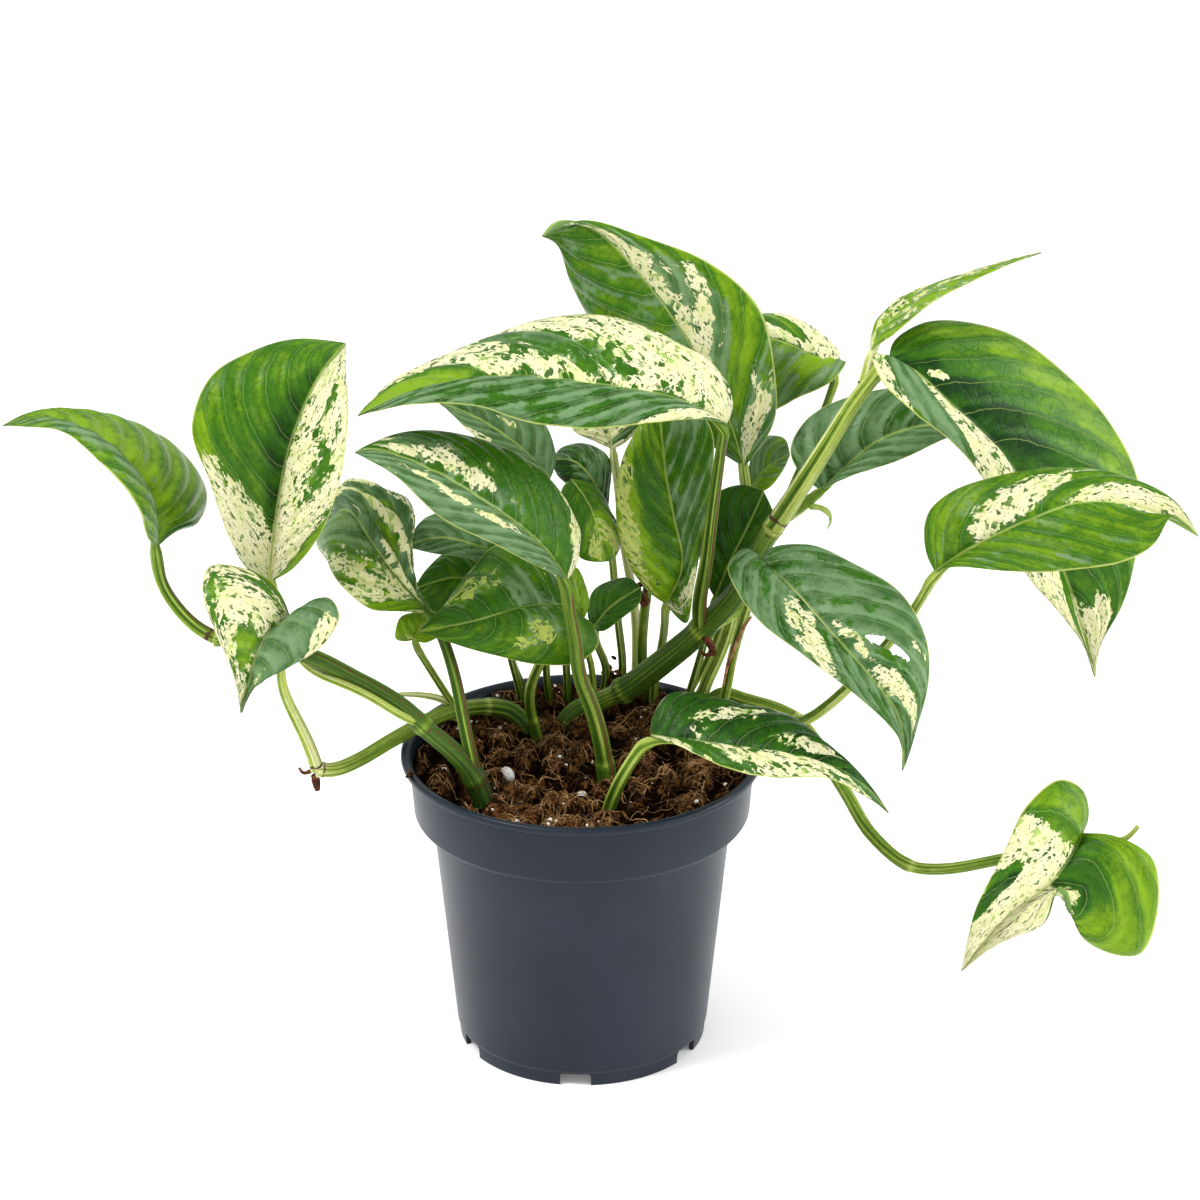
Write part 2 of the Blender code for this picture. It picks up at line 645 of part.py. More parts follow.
def tube(name, route, radii, finish, sides_level):
    """A closed tube of changing radius along the route."""
    path = bpy.data.curves.new(name, "CURVE")
    path.dimensions = "3D"
    path.bevel_depth = 1.0
    path.bevel_resolution = sides_level
    path.use_fill_caps = True
    spline = path.splines.new("POLY")
    spline.points.add(len(route) - 1)
    for point, place, radius in zip(spline.points, route, radii):
        point.co = (*place, 1.0)
        point.radius = radius
    guide = bpy.data.objects.new(name, path)
    bpy.context.collection.objects.link(guide)
    graph = bpy.context.evaluated_depsgraph_get()
    mesh = bpy.data.meshes.new_from_object(guide.evaluated_get(graph))
    bpy.data.objects.remove(guide, do_unlink=True)
    shape = bmesh.new()
    shape.from_mesh(mesh)
    bmesh.ops.remove_doubles(shape, verts=shape.verts, dist=0.00001)
    bmesh.ops.recalc_face_normals(shape, faces=shape.faces)
    shape.to_mesh(mesh)
    shape.free()
    mesh.materials.clear()
    mesh.shade_smooth()
    return add_object(name, mesh, finish)


def surface_tree(solid):
    graph = bpy.context.evaluated_depsgraph_get()
    return BVHTree.FromObject(solid, graph)


def ring_clearance(centre, direction, radius, tree):
    """The smallest distance from a disc across a stem to a surface."""
    direction = Vector(direction).normalized()
    side = direction.orthogonal().normalized()
    places = [Vector(centre)]
    for turn in range(8):
        arm = Quaternion(direction, turn * pi / 4) @ side
        places += [places[0] + arm * radius, places[0] + arm * radius / 2]
    return min(tree.find_nearest(place)[3] for place in places)


def trim(fine, radii, tree):
    """How many of the route's points to keep, so that its last ring stays clear of the surface."""
    middle = len(fine) // 2
    for i in range(middle, len(fine)):
        direction = fine[i] - fine[i - 1]
        if ring_clearance(fine[i], direction, radii[i], tree) < 1.5 * GAP:
            return i
    return len(fine)


def stem_course(table, carrier, end_on, spacing):
    """A stem's route and radii, cut back where it would run into its carrier or its leaf."""
    _, given_radii, points = table
    share = np.linspace(0.0, 1.0, 240)
    fine = smooth_curve(points, share) * MM
    radii = np.interp(share, np.linspace(0.0, 1.0, len(given_radii)), given_radii) * MM
    if end_on:
        keep = trim(fine, radii, end_on)
        fine, radii = fine[:keep], radii[:keep]
    if carrier:
        keep = trim(fine[::-1], radii[::-1], carrier)
        fine, radii = fine[-keep:], radii[-keep:]
    along = lengths_along(fine)
    count = max(2, round(along[-1] / spacing))
    inner = np.linspace(END_RING, along[-1] - END_RING, count)
    at = np.concatenate(([0.0], inner, [along[-1]]))
    route = np.stack([np.interp(at, along, fine[:, axis]) for axis in range(3)], axis=1)
    return route, np.interp(at, along, radii)


def cut_socket(ground, name, route, radii, sides_level):
    """Cuts the place of a stem out of the soil, a gap wider than the stem."""
    start = route[1] - route[0]
    route = route.copy()
    route[0] -= start / np.linalg.norm(start) * GAP
    cutter = tube(f"socket_{name}", route, radii + 1.2 * GAP, None, sides_level)
    hide(cutter)
    cut(ground, cutter)


def plant(ground):
    leaf_finish = material("leaf_surface", LEAF_GREEN, 0.40)
    stem_finish = material("vine_skin", STEM_GREEN, 0.45)
    stalk_finish = material("stalk_skin", STALK_GREEN, 0.45)
    blades = {name: blade(f"leaf_{name}", outline, leaf_finish) for name, outline in LEAVES.items()}
    made = {}
    for name, table in STEMS.items():
        is_vine = name in VINES
        carrier = None if table[0] == "soil" else surface_tree(made[table[0]])
        end_on = None
        if name in blades and name not in FUSED_LEAVES:
            end_on = surface_tree(blades[name])
        label = name if is_vine or name in LOOSE_STEMS else f"stalk_{name}"
        finish = stem_finish if is_vine else stalk_finish
        sides_level = 2 if is_vine else 1
        spacing = VINE_SPACING if is_vine else STALK_SPACING
        route, radii = stem_course(table, carrier, end_on, spacing)
        made[name] = tube(label, route, radii, finish, sides_level)
        if name in FUSED_LEAVES:
            hide(made[name])
            cut(blades[name], made[name], "UNION")
        if table[0] == "soil":
            cut_socket(ground, name, route, radii, sides_level)


def main():
    clear_scene()
    pot()
    plant(soil())


main()
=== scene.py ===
from math import cos, pi, radians, sin

import bmesh
import bpy
import numpy as np
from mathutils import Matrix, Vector


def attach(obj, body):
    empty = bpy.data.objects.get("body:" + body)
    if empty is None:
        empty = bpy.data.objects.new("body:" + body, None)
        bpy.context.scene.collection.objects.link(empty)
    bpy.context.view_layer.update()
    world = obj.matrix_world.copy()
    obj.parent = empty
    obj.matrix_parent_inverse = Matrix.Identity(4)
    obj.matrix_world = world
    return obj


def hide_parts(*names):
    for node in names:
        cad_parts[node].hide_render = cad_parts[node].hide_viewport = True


MM = 0.001
DICE = np.random.default_rng(11)

# Each blade in millimetres: its midrib from the stalk to the tip, then the points of its left and
# its right margin between those two ends, as seen from above the leaf with the stalk below.
LEAVES = {
    "far_left": (
        ((-146, -26, 202), (-147, -27, 219), (-157, -24, 232), (-174, -14, 240), (-189, -5, 242),
         (-201, 2, 236)),
        ((-147, -36, 209), (-149, -46, 223), (-158, -44, 237), (-172, -27, 242)),
        ((-141, -18, 204), (-133, -6, 203), (-131, 4, 209), (-140, 10, 222), (-158, 10, 235),
         (-176, 3, 241), (-187, -1, 242)),
    ),
    "upper_left": (
        ((-108, -21, 187), (-104, -28, 217), (-97, -29, 246), (-88, -22, 264), (-80, -8, 270)),
        ((-114, -24, 192), (-121, -33, 210), (-126, -36, 232), (-131, -34, 250), (-125, -26, 265),
         (-111, -18, 271), (-94, -10, 272)),
        ((-100, -27, 194), (-88, -41, 214), (-80, -48, 238), (-78, -42, 255), (-79, -28, 265)),
    ),
    "lower_left": (
        ((-100, -34, 178), (-107, -42, 177), (-111, -48, 171), (-114, -50, 161), (-117, -50, 150)),
        ((-95, -32, 182), (-88, -32, 186), (-83, -40, 182), (-89, -48, 174), (-99, -52, 169),
         (-111, -52, 162)),
        ((-103, -32, 186), (-112, -32, 195), (-127, -38, 200), (-129, -44, 194), (-124, -50, 180),
         (-119, -52, 166)),
    ),
    "curled": (
        ((-53, 4, 164), (-63, -6, 180), (-72, -8, 194), (-81, 2, 204), (-88, 14, 194), (-90, 20, 176)),
        ((-63, -8, 170), (-75, -20, 177), (-83, -20, 184), (-90, -6, 190), (-93, 8, 188)),
        ((-59, 6, 172), (-61, 6, 190), (-60, 8, 206), (-69, 14, 208), (-78, 18, 210), (-88, 24, 200),
         (-94, 24, 187)),
    ),
    "mid_left": (
        ((-5, -22, 188), (-14, -30, 205), (-31, -36, 222), (-50, -40, 236), (-72, -43, 245),
         (-76, -44, 244)),
        ((-12, -32, 196), (-29, -44, 210), (-48, -50, 224), (-64, -50, 239)),
        ((-1, -16, 193), (0, -12, 201), (-7, -10, 215), (-24, -14, 233), (-43, -22, 243), (-62, -32, 246)),
    ),
    "upper_long": (
        ((50, -12, 242), (33, -20, 254), (4, -26, 262), (-29, -30, 266), (-56, -34, 262), (-75, -38, 255)),
        ((40, -26, 249), (23, -36, 252), (1, -44, 252), (-16, -46, 255), (-34, -44, 261), (-55, -44, 261)),
        ((52, -6, 247), (47, 2, 257), (32, 8, 266), (11, 10, 273), (-11, 8, 273), (-32, 2, 269),
         (-54, -10, 263), (-66, -24, 260)),
    ),
    "top": (
        ((58, 34, 208), (50, 36, 232), (38, 40, 253), (20, 46, 277), (2, 50, 293), (-9, 50, 294),
         (-14, 50, 289)),
        ((50, 38, 212), (32, 48, 226), (10, 56, 246), (-4, 58, 268), (-9, 54, 285)),
        ((63, 33, 215), (69, 30, 229), (68, 30, 248), (62, 34, 268), (45, 40, 283), (21, 46, 291),
         (-1, 50, 295)),
    ),
    "back_right": (
        ((92, 50, 239), (83, 56, 242), (68, 64, 246), (45, 72, 241)),
        ((94, 44, 244), (89, 42, 238), (77, 46, 229), (64, 56, 221), (51, 66, 227)),
        ((92, 60, 243), (84, 70, 248), (70, 77, 251), (54, 78, 247)),
    ),
    "young": (
        ((100, 6, 262), (106, 9, 271), (119, 12, 280), (139, 13, 289), (158, 12, 296)),
        ((102, 18, 267), (112, 24, 274), (128, 24, 281), (145, 17, 290)),
        ((105, 2, 268), (114, 0, 276), (126, 2, 285), (144, 9, 291)),
    ),
    "right_tall": (
        ((106, 2, 261), (115, 0, 257), (127, -2, 246), (146, 0, 226), (166, 6, 190), (177, 8, 160),
         (184, 8, 137)),
        ((108, 8, 265), (119, 14, 270), (146, 22, 264), (168, 25, 248), (186, 24, 230), (197, 20, 209),
         (196, 14, 180), (192, 10, 164), (185, 8, 149)),
        ((100, -2, 264), (103, -12, 257), (114, -20, 248), (128, -20, 237), (139, -16, 223), (155, -6, 184),
         (169, 2, 165), (179, 6, 150)),
    ),
    "right_low": (
        ((121, -38, 198), (132, -46, 210), (151, -54, 224), (167, -56, 231), (187, -58, 230),
         (206, -64, 222)),
        ((118, -34, 204), (119, -32, 217), (126, -34, 226), (142, -36, 233), (165, -38, 236),
         (184, -45, 236), (198, -56, 232)),
        ((127, -48, 204), (144, -61, 208), (163, -68, 211), (180, -68, 214), (191, -66, 220),
         (197, -64, 229)),
    ),
    "behind_stem": (
        ((85, 24, 203), (94, 28, 210), (106, 32, 219), (122, 36, 223), (140, 40, 221)),
        ((79, 26, 207), (74, 30, 216), (79, 36, 224), (96, 42, 232), (115, 46, 234), (130, 46, 229)),
        ((93, 20, 209), (109, 22, 214), (129, 30, 220)),
    ),
    "right_mid": (
        ((62, -12, 191), (71, -24, 188), (86, -42, 177), (100, -54, 164), (108, -60, 154), (110, -64, 135)),
        ((66, -10, 195), (78, -12, 197), (93, -20, 194), (110, -32, 188), (118, -42, 175), (119, -50, 163),
         (114, -60, 146)),
        ((57, -12, 196), (51, -16, 192), (54, -26, 185), (62, -40, 179), (76, -54, 174), (95, -62, 161),
         (108, -66, 148)),
    ),
    "front": (
        ((24, -44, 139), (35, -50, 140), (55, -56, 140), (75, -60, 138), (94, -62, 131), (106, -62, 118)),
        ((25, -36, 142), (31, -30, 148), (41, -28, 148), (57, -32, 145), (74, -38, 142), (87, -48, 136),
         (99, -58, 126)),
        ((32, -58, 142), (48, -71, 140), (66, -76, 139), (84, -73, 136), (96, -66, 127)),
    ),
    "low_right": (
        ((175, -48, 103), (170, -56, 98), (162, -62, 90), (149, -64, 80), (133, -62, 56)),
        ((185, -54, 105), (198, -58, 99), (201, -60, 88), (195, -60, 62), (175, -64, 70), (168, -64, 88),
         (166, -64, 90), (161, -66, 78), (146, -66, 70)),
        ((177, -46, 109), (175, -44, 117), (166, -46, 123), (155, -54, 118), (145, -64, 102),
         (137, -68, 87), (134, -66, 69)),
    ),
    "centre": (
        ((30, 20, 161), (36, 14, 180), (33, 14, 196), (30, 18, 210), (28, 26, 225), (26, 34, 239)),
        ((23, 16, 168), (15, 12, 184), (12, 13, 200), (14, 19, 216), (20, 28, 226), (24, 33, 234)),
        ((37, 16, 155), (40, 13, 171), (43, 13, 192), (46, 15, 211), (46, 21, 227), (37, 30, 236)),
    ),
    "dark_upper": (
        ((9, 28, 193), (4, 28, 205), (-2, 31, 211), (-11, 36, 210)),
        ((4, 24, 197), (-3, 26, 202), (-9, 32, 206)),
        ((10, 34, 200), (9, 38, 211), (2, 42, 214), (-7, 42, 212)),
    ),
    "dark_lower": (
        ((-4, 20, 209), (2, 14, 203), (6, 11, 193), (8, 11, 181)),
        ((4, 24, 205), (10, 23, 197), (14, 20, 186), (12, 15, 181)),
        ((-8, 12, 204), (-5, 8, 193), (0, 9, 183)),
    ),
    "under_long": (
        ((-11, 18, 210), (-22, 18, 222), (-35, 20, 231), (-50, 22, 237)),
        ((-18, 10, 216), (-29, 10, 222), (-40, 14, 230)),
        ((-9, 24, 217), (-12, 28, 225), (-22, 30, 232), (-37, 28, 237)),
    ),
    "striped": (
        ((-22, 18, 178), (-36, 15, 185), (-50, 14, 189), (-62, 15, 185)),
        ((-29, 16, 175), (-41, 14, 181), (-54, 12, 184)),
        ((-27, 24, 187), (-43, 24, 195), (-56, 20, 194)),
    ),
    "dark_left": (
        ((-35, 22, 165), (-44, 18, 172), (-53, 16, 171), (-60, 16, 168)),
        ((-40, 16, 160), (-50, 14, 158), (-56, 14, 163)),
        ((-35, 28, 173), (-47, 26, 179), (-55, 20, 175)),
    ),
    "broad_front": (
        ((-7, -6, 172), (-19, -10, 173), (-38, -14, 169), (-57, -14, 165)),
        ((-2, -2, 167), (4, 0, 161), (6, -3, 156), (1, -9, 152), (-15, -16, 153), (-32, -20, 159),
         (-47, -18, 163)),
        ((-9, 4, 178), (-19, 10, 186), (-30, 10, 188), (-39, 4, 181), (-48, -6, 172)),
    ),
    "small_right": (
        ((4, 22, 150), (10, 18, 160), (21, 18, 168)),
        ((2, 26, 158), (6, 26, 165), (17, 22, 170)),
        ((8, 16, 152), (16, 14, 159), (21, 15, 164)),
    ),
    "dark_right": (
        ((48, 32, 158), (53, 29, 173), (59, 27, 187), (65, 28, 201)),
        ((44, 33, 166), (42, 33, 182), (47, 32, 198), (57, 32, 202)),
        ((56, 31, 160), (66, 26, 175), (69, 25, 191)),
    ),
    "back_tip": (
        ((60, 46, 194), (67, 44, 204), (75, 48, 207)),
        ((61, 54, 202), (67, 58, 211), (73, 54, 211)),
        ((65, 42, 195), (71, 42, 201)),
    ),
    "cream_top": (
        ((11, 36, 214), (9, 38, 223), (6, 42, 234)),
        ((5, 38, 216), (-3, 40, 220), (-3, 44, 228)),
        ((16, 36, 217), (21, 37, 224), (17, 41, 232)),
    ),
    "lime": (
        ((-60, 6, 153), (-57, 6, 158), (-52, 10, 161)),
        ((-66, 2, 155), (-65, 4, 162), (-58, 8, 163)),
        ((-55, 6, 152), (-50, 10, 154)),
    ),
    "behind_base": (
        ((-1, 4, 160), (-1, 2, 170), (-4, 6, 182)),
        ((-4, 2, 165), (-5, 2, 174)),
        ((2, 6, 164), (2, 6, 172), (-1, 8, 179)),
    ),
}

# Each stem in millimetres: what it grows from, its radii from its foot to its end, and its route. The
# route of a stalk runs on to where the midrib of its blade starts.
STEMS = {
    "vine_left_low": ("soil", (3.0, 2.8, 2.5), (
        (-17, 34, 98), (-21, 35, 106), (-26, 36, 111), (-32, 36, 112.5), (-38, 33, 114), (-46, 26, 116),
        (-52, 18, 117.5), (-61, 8, 117), (-70, 0, 115), (-80, -8, 112), (-89, -14, 111), (-94, -15, 112))),
    "vine_left_high": ("soil", (4.2, 3.3, 3.0, 2.9), (
        (-34, -24, 97), (-35, -24, 105), (-39, -24, 115), (-45, -25, 123.5), (-53, -26, 131.5),
        (-62, -26, 141), (-70, -26, 147), (-80, -27, 153.5), (-91, -28, 160.5), (-108, -29, 167),
        (-127, -30, 170))),
    "vine_right_main": ("soil", (4.8, 4.6, 3.3), (
        (-9, 40, 98), (-3, 42, 108), (6, 44, 111), (16, 42, 117), (28, 37, 129), (43, 30, 146),
        (56, 22, 165), (62, 17, 181), (68, 14, 193))),
    "vine_right_low": ("soil", (2.6, 2.4, 2.1, 2.0, 1.9, 0.8), (
        (40, 28, 98), (51, 31, 120), (59, 28, 119), (73, 20, 118), (78, 17, 116), (94, -10, 101),
        (103, -30, 93), (116, -42, 87), (126, -44, 87), (147, -46, 92), (167, -46, 97), (175, -48, 102),
        (184, -48, 100), (190, -48, 101), (194, -48, 106))),
    "far_left": ("vine_left_high", (2.6, 2), (
        (-127, -30, 170), (-132, -30, 172), (-137, -29, 177), (-143, -28, 185), (-146, -27, 191))),
    "upper_left": ("vine_left_high", (1.5, 1.5), (
        (-56, -26, 135), (-60, -30, 138), (-66, -31, 142.5), (-72, -31, 147), (-84, -31.5, 153.5),
        (-91, -28, 154.5), (-98, -22, 157), (-103, -20, 168))),
    "lower_left": ("vine_left_low", (2.6, 1.4), (
        (-94, -15, 112), (-96, -18, 122), (-100, -24, 136), (-104, -30, 150), (-104, -36, 161),
        (-103, -37, 171))),
    "curled": ("vine_left_high", (2.5, 2), (
        (-37.5, -24, 113), (-38.5, -24, 120), (-41, -22, 131), (-44, -16, 147), (-47, -8, 154),
        (-50, 0, 159))),
    "mid_left": ("soil", (3.6, 2.2), (
        (9, -11, 97), (9, -11, 105), (8, -12, 115), (3, -15, 139), (-1, -17, 149), (-2, -19, 164),
        (-5, -22, 181))),
    "upper_long": ("vine_right_main", (3, 1.8), (
        (43, 29, 147), (42, 22, 160), (44, 14, 177), (46, 4, 204), (48, -4, 226), (49, -10, 238))),
    "top": ("soil", (2.6, 1.9), (
        (43, 37, 98), (44, 36, 119), (50, 36, 133), (54, 38, 145), (58, 42, 169), (59, 40, 192))),
    "back_right": ("soil", (1.9, 1.6), (
        (35, 41, 98), (48, 43, 125), (60, 46, 151), (68, 48, 174), (79, 50, 201), (88, 50, 226))),
    "right_tall": ("vine_right_main", (4, 2.4), (
        (68, 14, 193), (77, 12, 209), (87, 9, 228), (95, 6, 244), (101, 4, 253))),
    "young": ("right_tall", (2, 1.6), ((97, 7, 248), (99, 8, 254))),
    "right_low": ("vine_right_low", (2.2, 1.8), (
        (78, 17, 116), (80, 12, 118), (93, -4, 137), (107, -18, 162), (116, -28, 181))),
    "behind_stem": ("right_tall", (2, 1.8), ((72, 13, 197), (76, 20, 196), (80, 23, 199))),
    "right_mid": ("soil", (2, 1.8), (
        (49, 21, 98), (51, 24, 119), (52, 23, 123), (54, 18, 140), (57, 8, 158), (60, -6, 177))),
    "front": ("soil", (2.8, 2), ((8, -35, 98), (9, -36, 105), (13, -40, 119), (19, -42, 131))),
    "centre": ("soil", (1.8, 1.6), ((26, 48, 98), (27, 50, 119), (29, 46, 131), (30, 34, 146))),
    "dark_upper": ("soil", (1.6, 1.4), ((13, 55, 98), (15, 52, 120), (13, 42, 145), (11, 34, 172))),
    "dark_lower": ("soil", (1.6, 1.4), (
        (-5, 54, 98), (-6, 46, 126), (-7, 36, 147), (-8, 28, 174), (-7, 24, 199))),
    "under_long": ("soil", (1.5, 1.4), (
        (-10, 52, 98), (-13, 48, 115), (-13, 36, 147), (-14, 28, 174), (-13, 24, 199))),
    "striped": ("soil", (1.5, 1.4), (
        (-21, 52, 98), (-24, 46, 119), (-26, 38, 131), (-27, 28, 151), (-24, 21, 168))),
    "dark_left": ("soil", (1.3, 1.2), ((-16, 54, 98), (-26, 48, 126), (-30, 36, 147))),
    "broad_front": ("soil", (2.2, 1.7), (
        (-15, 28, 98), (-19, 26, 116), (-19, 22, 127), (-15, 16, 139), (-11, 6, 155))),
    "small_right": ("soil", (1.7, 1.4), ((5, 56, 98), (8, 54, 111), (9, 48, 123), (6, 36, 136))),
    "dark_right": ("soil", (1.6, 1.4), ((34, 37, 98), (43, 40, 130), (46, 36, 145))),
    "back_tip": ("soil", (1.5, 1.3), ((29, 44, 98), (48, 48, 130), (54, 50, 153), (58, 49, 177))),
    "cream_top": ("soil", (2, 1.5), (
        (19, 53, 98), (20, 56, 120), (20, 54, 133), (19, 48, 150), (15, 42, 176), (13, 40, 198))),
    "lime": ("vine_left_low", (1.5, 1.3), ((-46, 25, 117), (-52, 20, 130), (-56, 13, 141), (-59, 8, 149))),
    "behind_base": ("soil", (1.3, 1.2), ((4, 34, 98), (4, 26, 128), (3, 18, 140), (1, 10, 149))),
    "cut_stalk": ("soil", (2, 1.8), (
        (24, 52, 98), (22, 50, 124), (22, 46, 137), (23, 42, 151), (24, 40, 160))),
    "shoot": ("vine_left_low", (1.6, 0.8), ((-46, 25, 117), (-49, 24, 121), (-57, 22, 124), (-66, 18, 126))),
}

VINES = ("vine_left_high", "vine_left_low", "vine_right_main", "vine_right_low")
FUSED_LEAVES = ("young", "back_tip", "lime", "behind_base")  # one CAD node with their stalk

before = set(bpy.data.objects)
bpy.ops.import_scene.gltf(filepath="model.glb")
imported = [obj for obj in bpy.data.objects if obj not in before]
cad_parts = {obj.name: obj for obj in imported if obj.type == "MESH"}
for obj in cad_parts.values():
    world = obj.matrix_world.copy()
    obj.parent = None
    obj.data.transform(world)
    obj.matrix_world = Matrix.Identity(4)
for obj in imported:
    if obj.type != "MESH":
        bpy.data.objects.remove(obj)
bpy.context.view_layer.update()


# Shapes


def smooth_curve(points, at):
    """Points at the given shares of a smooth curve through the given ones."""
    points = np.array(points, float)
    steps = np.linalg.norm(np.diff(points, axis=0), axis=1) ** 0.75
    knots = np.concatenate(([0.0], np.cumsum(steps))) / steps.sum()
    widths = np.diff(knots)[:, None]
    slopes = np.diff(points, axis=0) / widths
    tangents = np.empty_like(points)
    tangents[1:-1] = (slopes[:-1] * widths[1:] + slopes[1:] * widths[:-1]) / (widths[1:] + widths[:-1])
    tangents[0] = 1.5 * slopes[0] - 0.5 * tangents[1]
    tangents[-1] = 1.5 * slopes[-1] - 0.5 * tangents[-2]
    span = np.clip(np.searchsorted(knots, at, side="right") - 1, 0, len(widths) - 1)
    width = widths[span]
    x = (at[:, None] - knots[span][:, None]) / width
    return (
        (2 * x**3 - 3 * x**2 + 1) * points[span]
        + (x**3 - 2 * x**2 + x) * width * tangents[span]
        + (3 * x**2 - 2 * x**3) * points[span + 1]
        + (x**3 - x**2) * width * tangents[span + 1]
    )


def lengths_along(route):
    steps = np.linalg.norm(np.diff(np.asarray(route, float), axis=0), axis=1)
    return np.concatenate(([0.0], np.cumsum(steps)))


def unit(vectors):
    return vectors / (np.linalg.norm(vectors, axis=-1, keepdims=True) + 1e-12)


def bell(value, middle, reach):
    return np.exp(-(((value - middle) / reach) ** 2))


def ring_of(radius, turn, height):
    """Points at one height, on a circle or at their own distances round the z axis."""
    return np.stack((radius * np.cos(turn), radius * np.sin(turn), np.broadcast_to(height, turn.shape)), -1)


def placed(name, data, location=(0, 0, 0)):
    made = bpy.data.objects.new(name, data)
    bpy.context.scene.collection.objects.link(made)
    made.location = location
    return made


def piece(name, mesh, slot, materials, *nodes):
    """A finished piece: it rides on the root and stands for the CAD nodes given."""
    for finish in materials:
        mesh.materials.append(finish)
    made = placed(name, mesh)
    mesh.shade_smooth()
    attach(made, "root")
    if nodes:
        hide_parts(*nodes)
    return made


def mesh_of(name, points, faces):
    """points in millimetres."""
    mesh = bpy.data.meshes.new(name)
    mesh.from_pydata((np.asarray(points, float) * MM).tolist(), [], faces)
    mesh.update()
    return mesh


def point_attribute(mesh, name, values):
    layer = mesh.attributes.new(name, "FLOAT", "POINT")
    layer.data.foreach_set("value", np.asarray(values, np.float32))


def loop_map(mesh, name, pairs):
    layer = mesh.uv_layers.new(name=name)
    layer.data.foreach_set("uv", np.asarray(pairs, np.float32).ravel())


# Materials


class Finish:
    """Builds one procedural material."""

    def __init__(self, name, roughness=0.5, specular=0.5):
        self.material = bpy.data.materials.new(name)
        self.material.use_nodes = True
        self.tree = self.material.node_tree
        self.shader = self.tree.nodes["Principled BSDF"]
        self.shader.inputs["Roughness"].default_value = roughness
        self.shader.inputs["Specular IOR Level"].default_value = specular

    def put(self, socket, value):
        if isinstance(value, bpy.types.NodeSocket):
            self.tree.links.new(value, socket)
        elif isinstance(value, tuple) and socket.type == "RGBA":
            socket.default_value = (*value, 1.0)
        else:
            socket.default_value = value

    def node(self, kind, **values):
        made = self.tree.nodes.new(kind)
        for key, value in values.items():
            self.put(made.inputs[key.replace("_", " ")], value)
        return made

    def attribute(self, name):
        made = self.node("ShaderNodeAttribute")
        made.attribute_name = name
        return made.outputs["Fac"]

    def uv(self, name):
        made = self.node("ShaderNodeUVMap")
        made.uv_map = name
        return made.outputs["UV"]

    def object_place(self):
        return self.node("ShaderNodeTexCoord").outputs["Object"]

    def texture(self, kind, place, scale, **values):
        """scale is one number, or one for each axis, the last of which is 1 where it is left out."""
        if isinstance(scale, tuple):
            place = self.node("ShaderNodeMapping", Vector=place, Scale=(*scale, 1.0)[:3]).outputs["Vector"]
            scale = 1.0
        return self.node(kind, Vector=place, Scale=scale, **values)

    def noise(self, place, scale, detail, roughness, distortion=0.0):
        values = {"Detail": detail, "Roughness": roughness, "Distortion": distortion}
        return self.texture("ShaderNodeTexNoise", place, scale, **values).outputs["Fac"]

    def net(self, place, scale):
        """How far each place is from the lines of an irregular net."""
        made = self.texture("ShaderNodeTexVoronoi", place, scale)
        made.feature = "DISTANCE_TO_EDGE"
        return made.outputs["Distance"]

    def math(self, operation, a, b=0.0, c=0.0):
        made = self.node("ShaderNodeMath")
        made.operation = operation
        for socket, value in zip(made.inputs, (a, b, c)):
            self.put(socket, value)
        return made.outputs["Value"]

    def plus(self, value, added, gain):
        return self.math("MULTIPLY_ADD", added, gain, value)

    def swayed(self, value, *sways):
        """The value moved up and down by noises, each with the width of its sway."""
        for noise, width in sways:
            value = self.plus(value, self.math("SUBTRACT", noise, 0.5), width)
        return value

    def ranged(self, value, low, high, to_low=0.0, to_high=1.0):
        """Rises smoothly from to_low to to_high while the value goes from low to high."""
        made = self.node(
            "ShaderNodeMapRange", Value=value, From_Min=low, From_Max=high, To_Min=to_low, To_Max=to_high
        )
        made.interpolation_type = "SMOOTHSTEP"
        return made.outputs["Result"]

    def mix(self, factor, a, b):
        made = self.tree.nodes.new("ShaderNodeMix")
        made.data_type = "RGBA"
        self.put(made.inputs["Factor"], factor)
        for socket, value in zip([i for i in made.inputs if i.type == "RGBA"], (a, b)):
            self.put(socket, value)
        return next(o for o in made.outputs if o.type == "RGBA")

    def bump(self, height, distance, strength):
        made = self.node("ShaderNodeBump", Height=height, Distance=distance, Strength=strength)
        self.put(self.shader.inputs["Normal"], made.outputs["Normal"])

    def colour(self, value):
        self.put(self.shader.inputs["Base Color"], value)

    def roughness(self, value):
        self.put(self.shader.inputs["Roughness"], value)


DARK_GREEN = (0.004, 0.030, 0.003)
MID_GREEN = (0.028, 0.112, 0.003)
LIME_GREEN = (0.165, 0.300, 0.005)
DULL_GREEN = (0.040, 0.105, 0.028)
GREY_GREEN = (0.150, 0.250, 0.120)
FLECK_GREEN = (0.020, 0.085, 0.006)
PALE_GREEN = (0.300, 0.430, 0.110)
CREAM = (0.670, 0.640, 0.410)
DEEP_CREAM = (0.61, 0.60, 0.29)
LIME_CREAM = (0.34, 0.43, 0.025)
PALE_RIB = (0.360, 0.480, 0.110)
PALE_MARGIN = (0.50, 0.56, 0.14)
UNDERSIDE = (0.28, 0.40, 0.16)


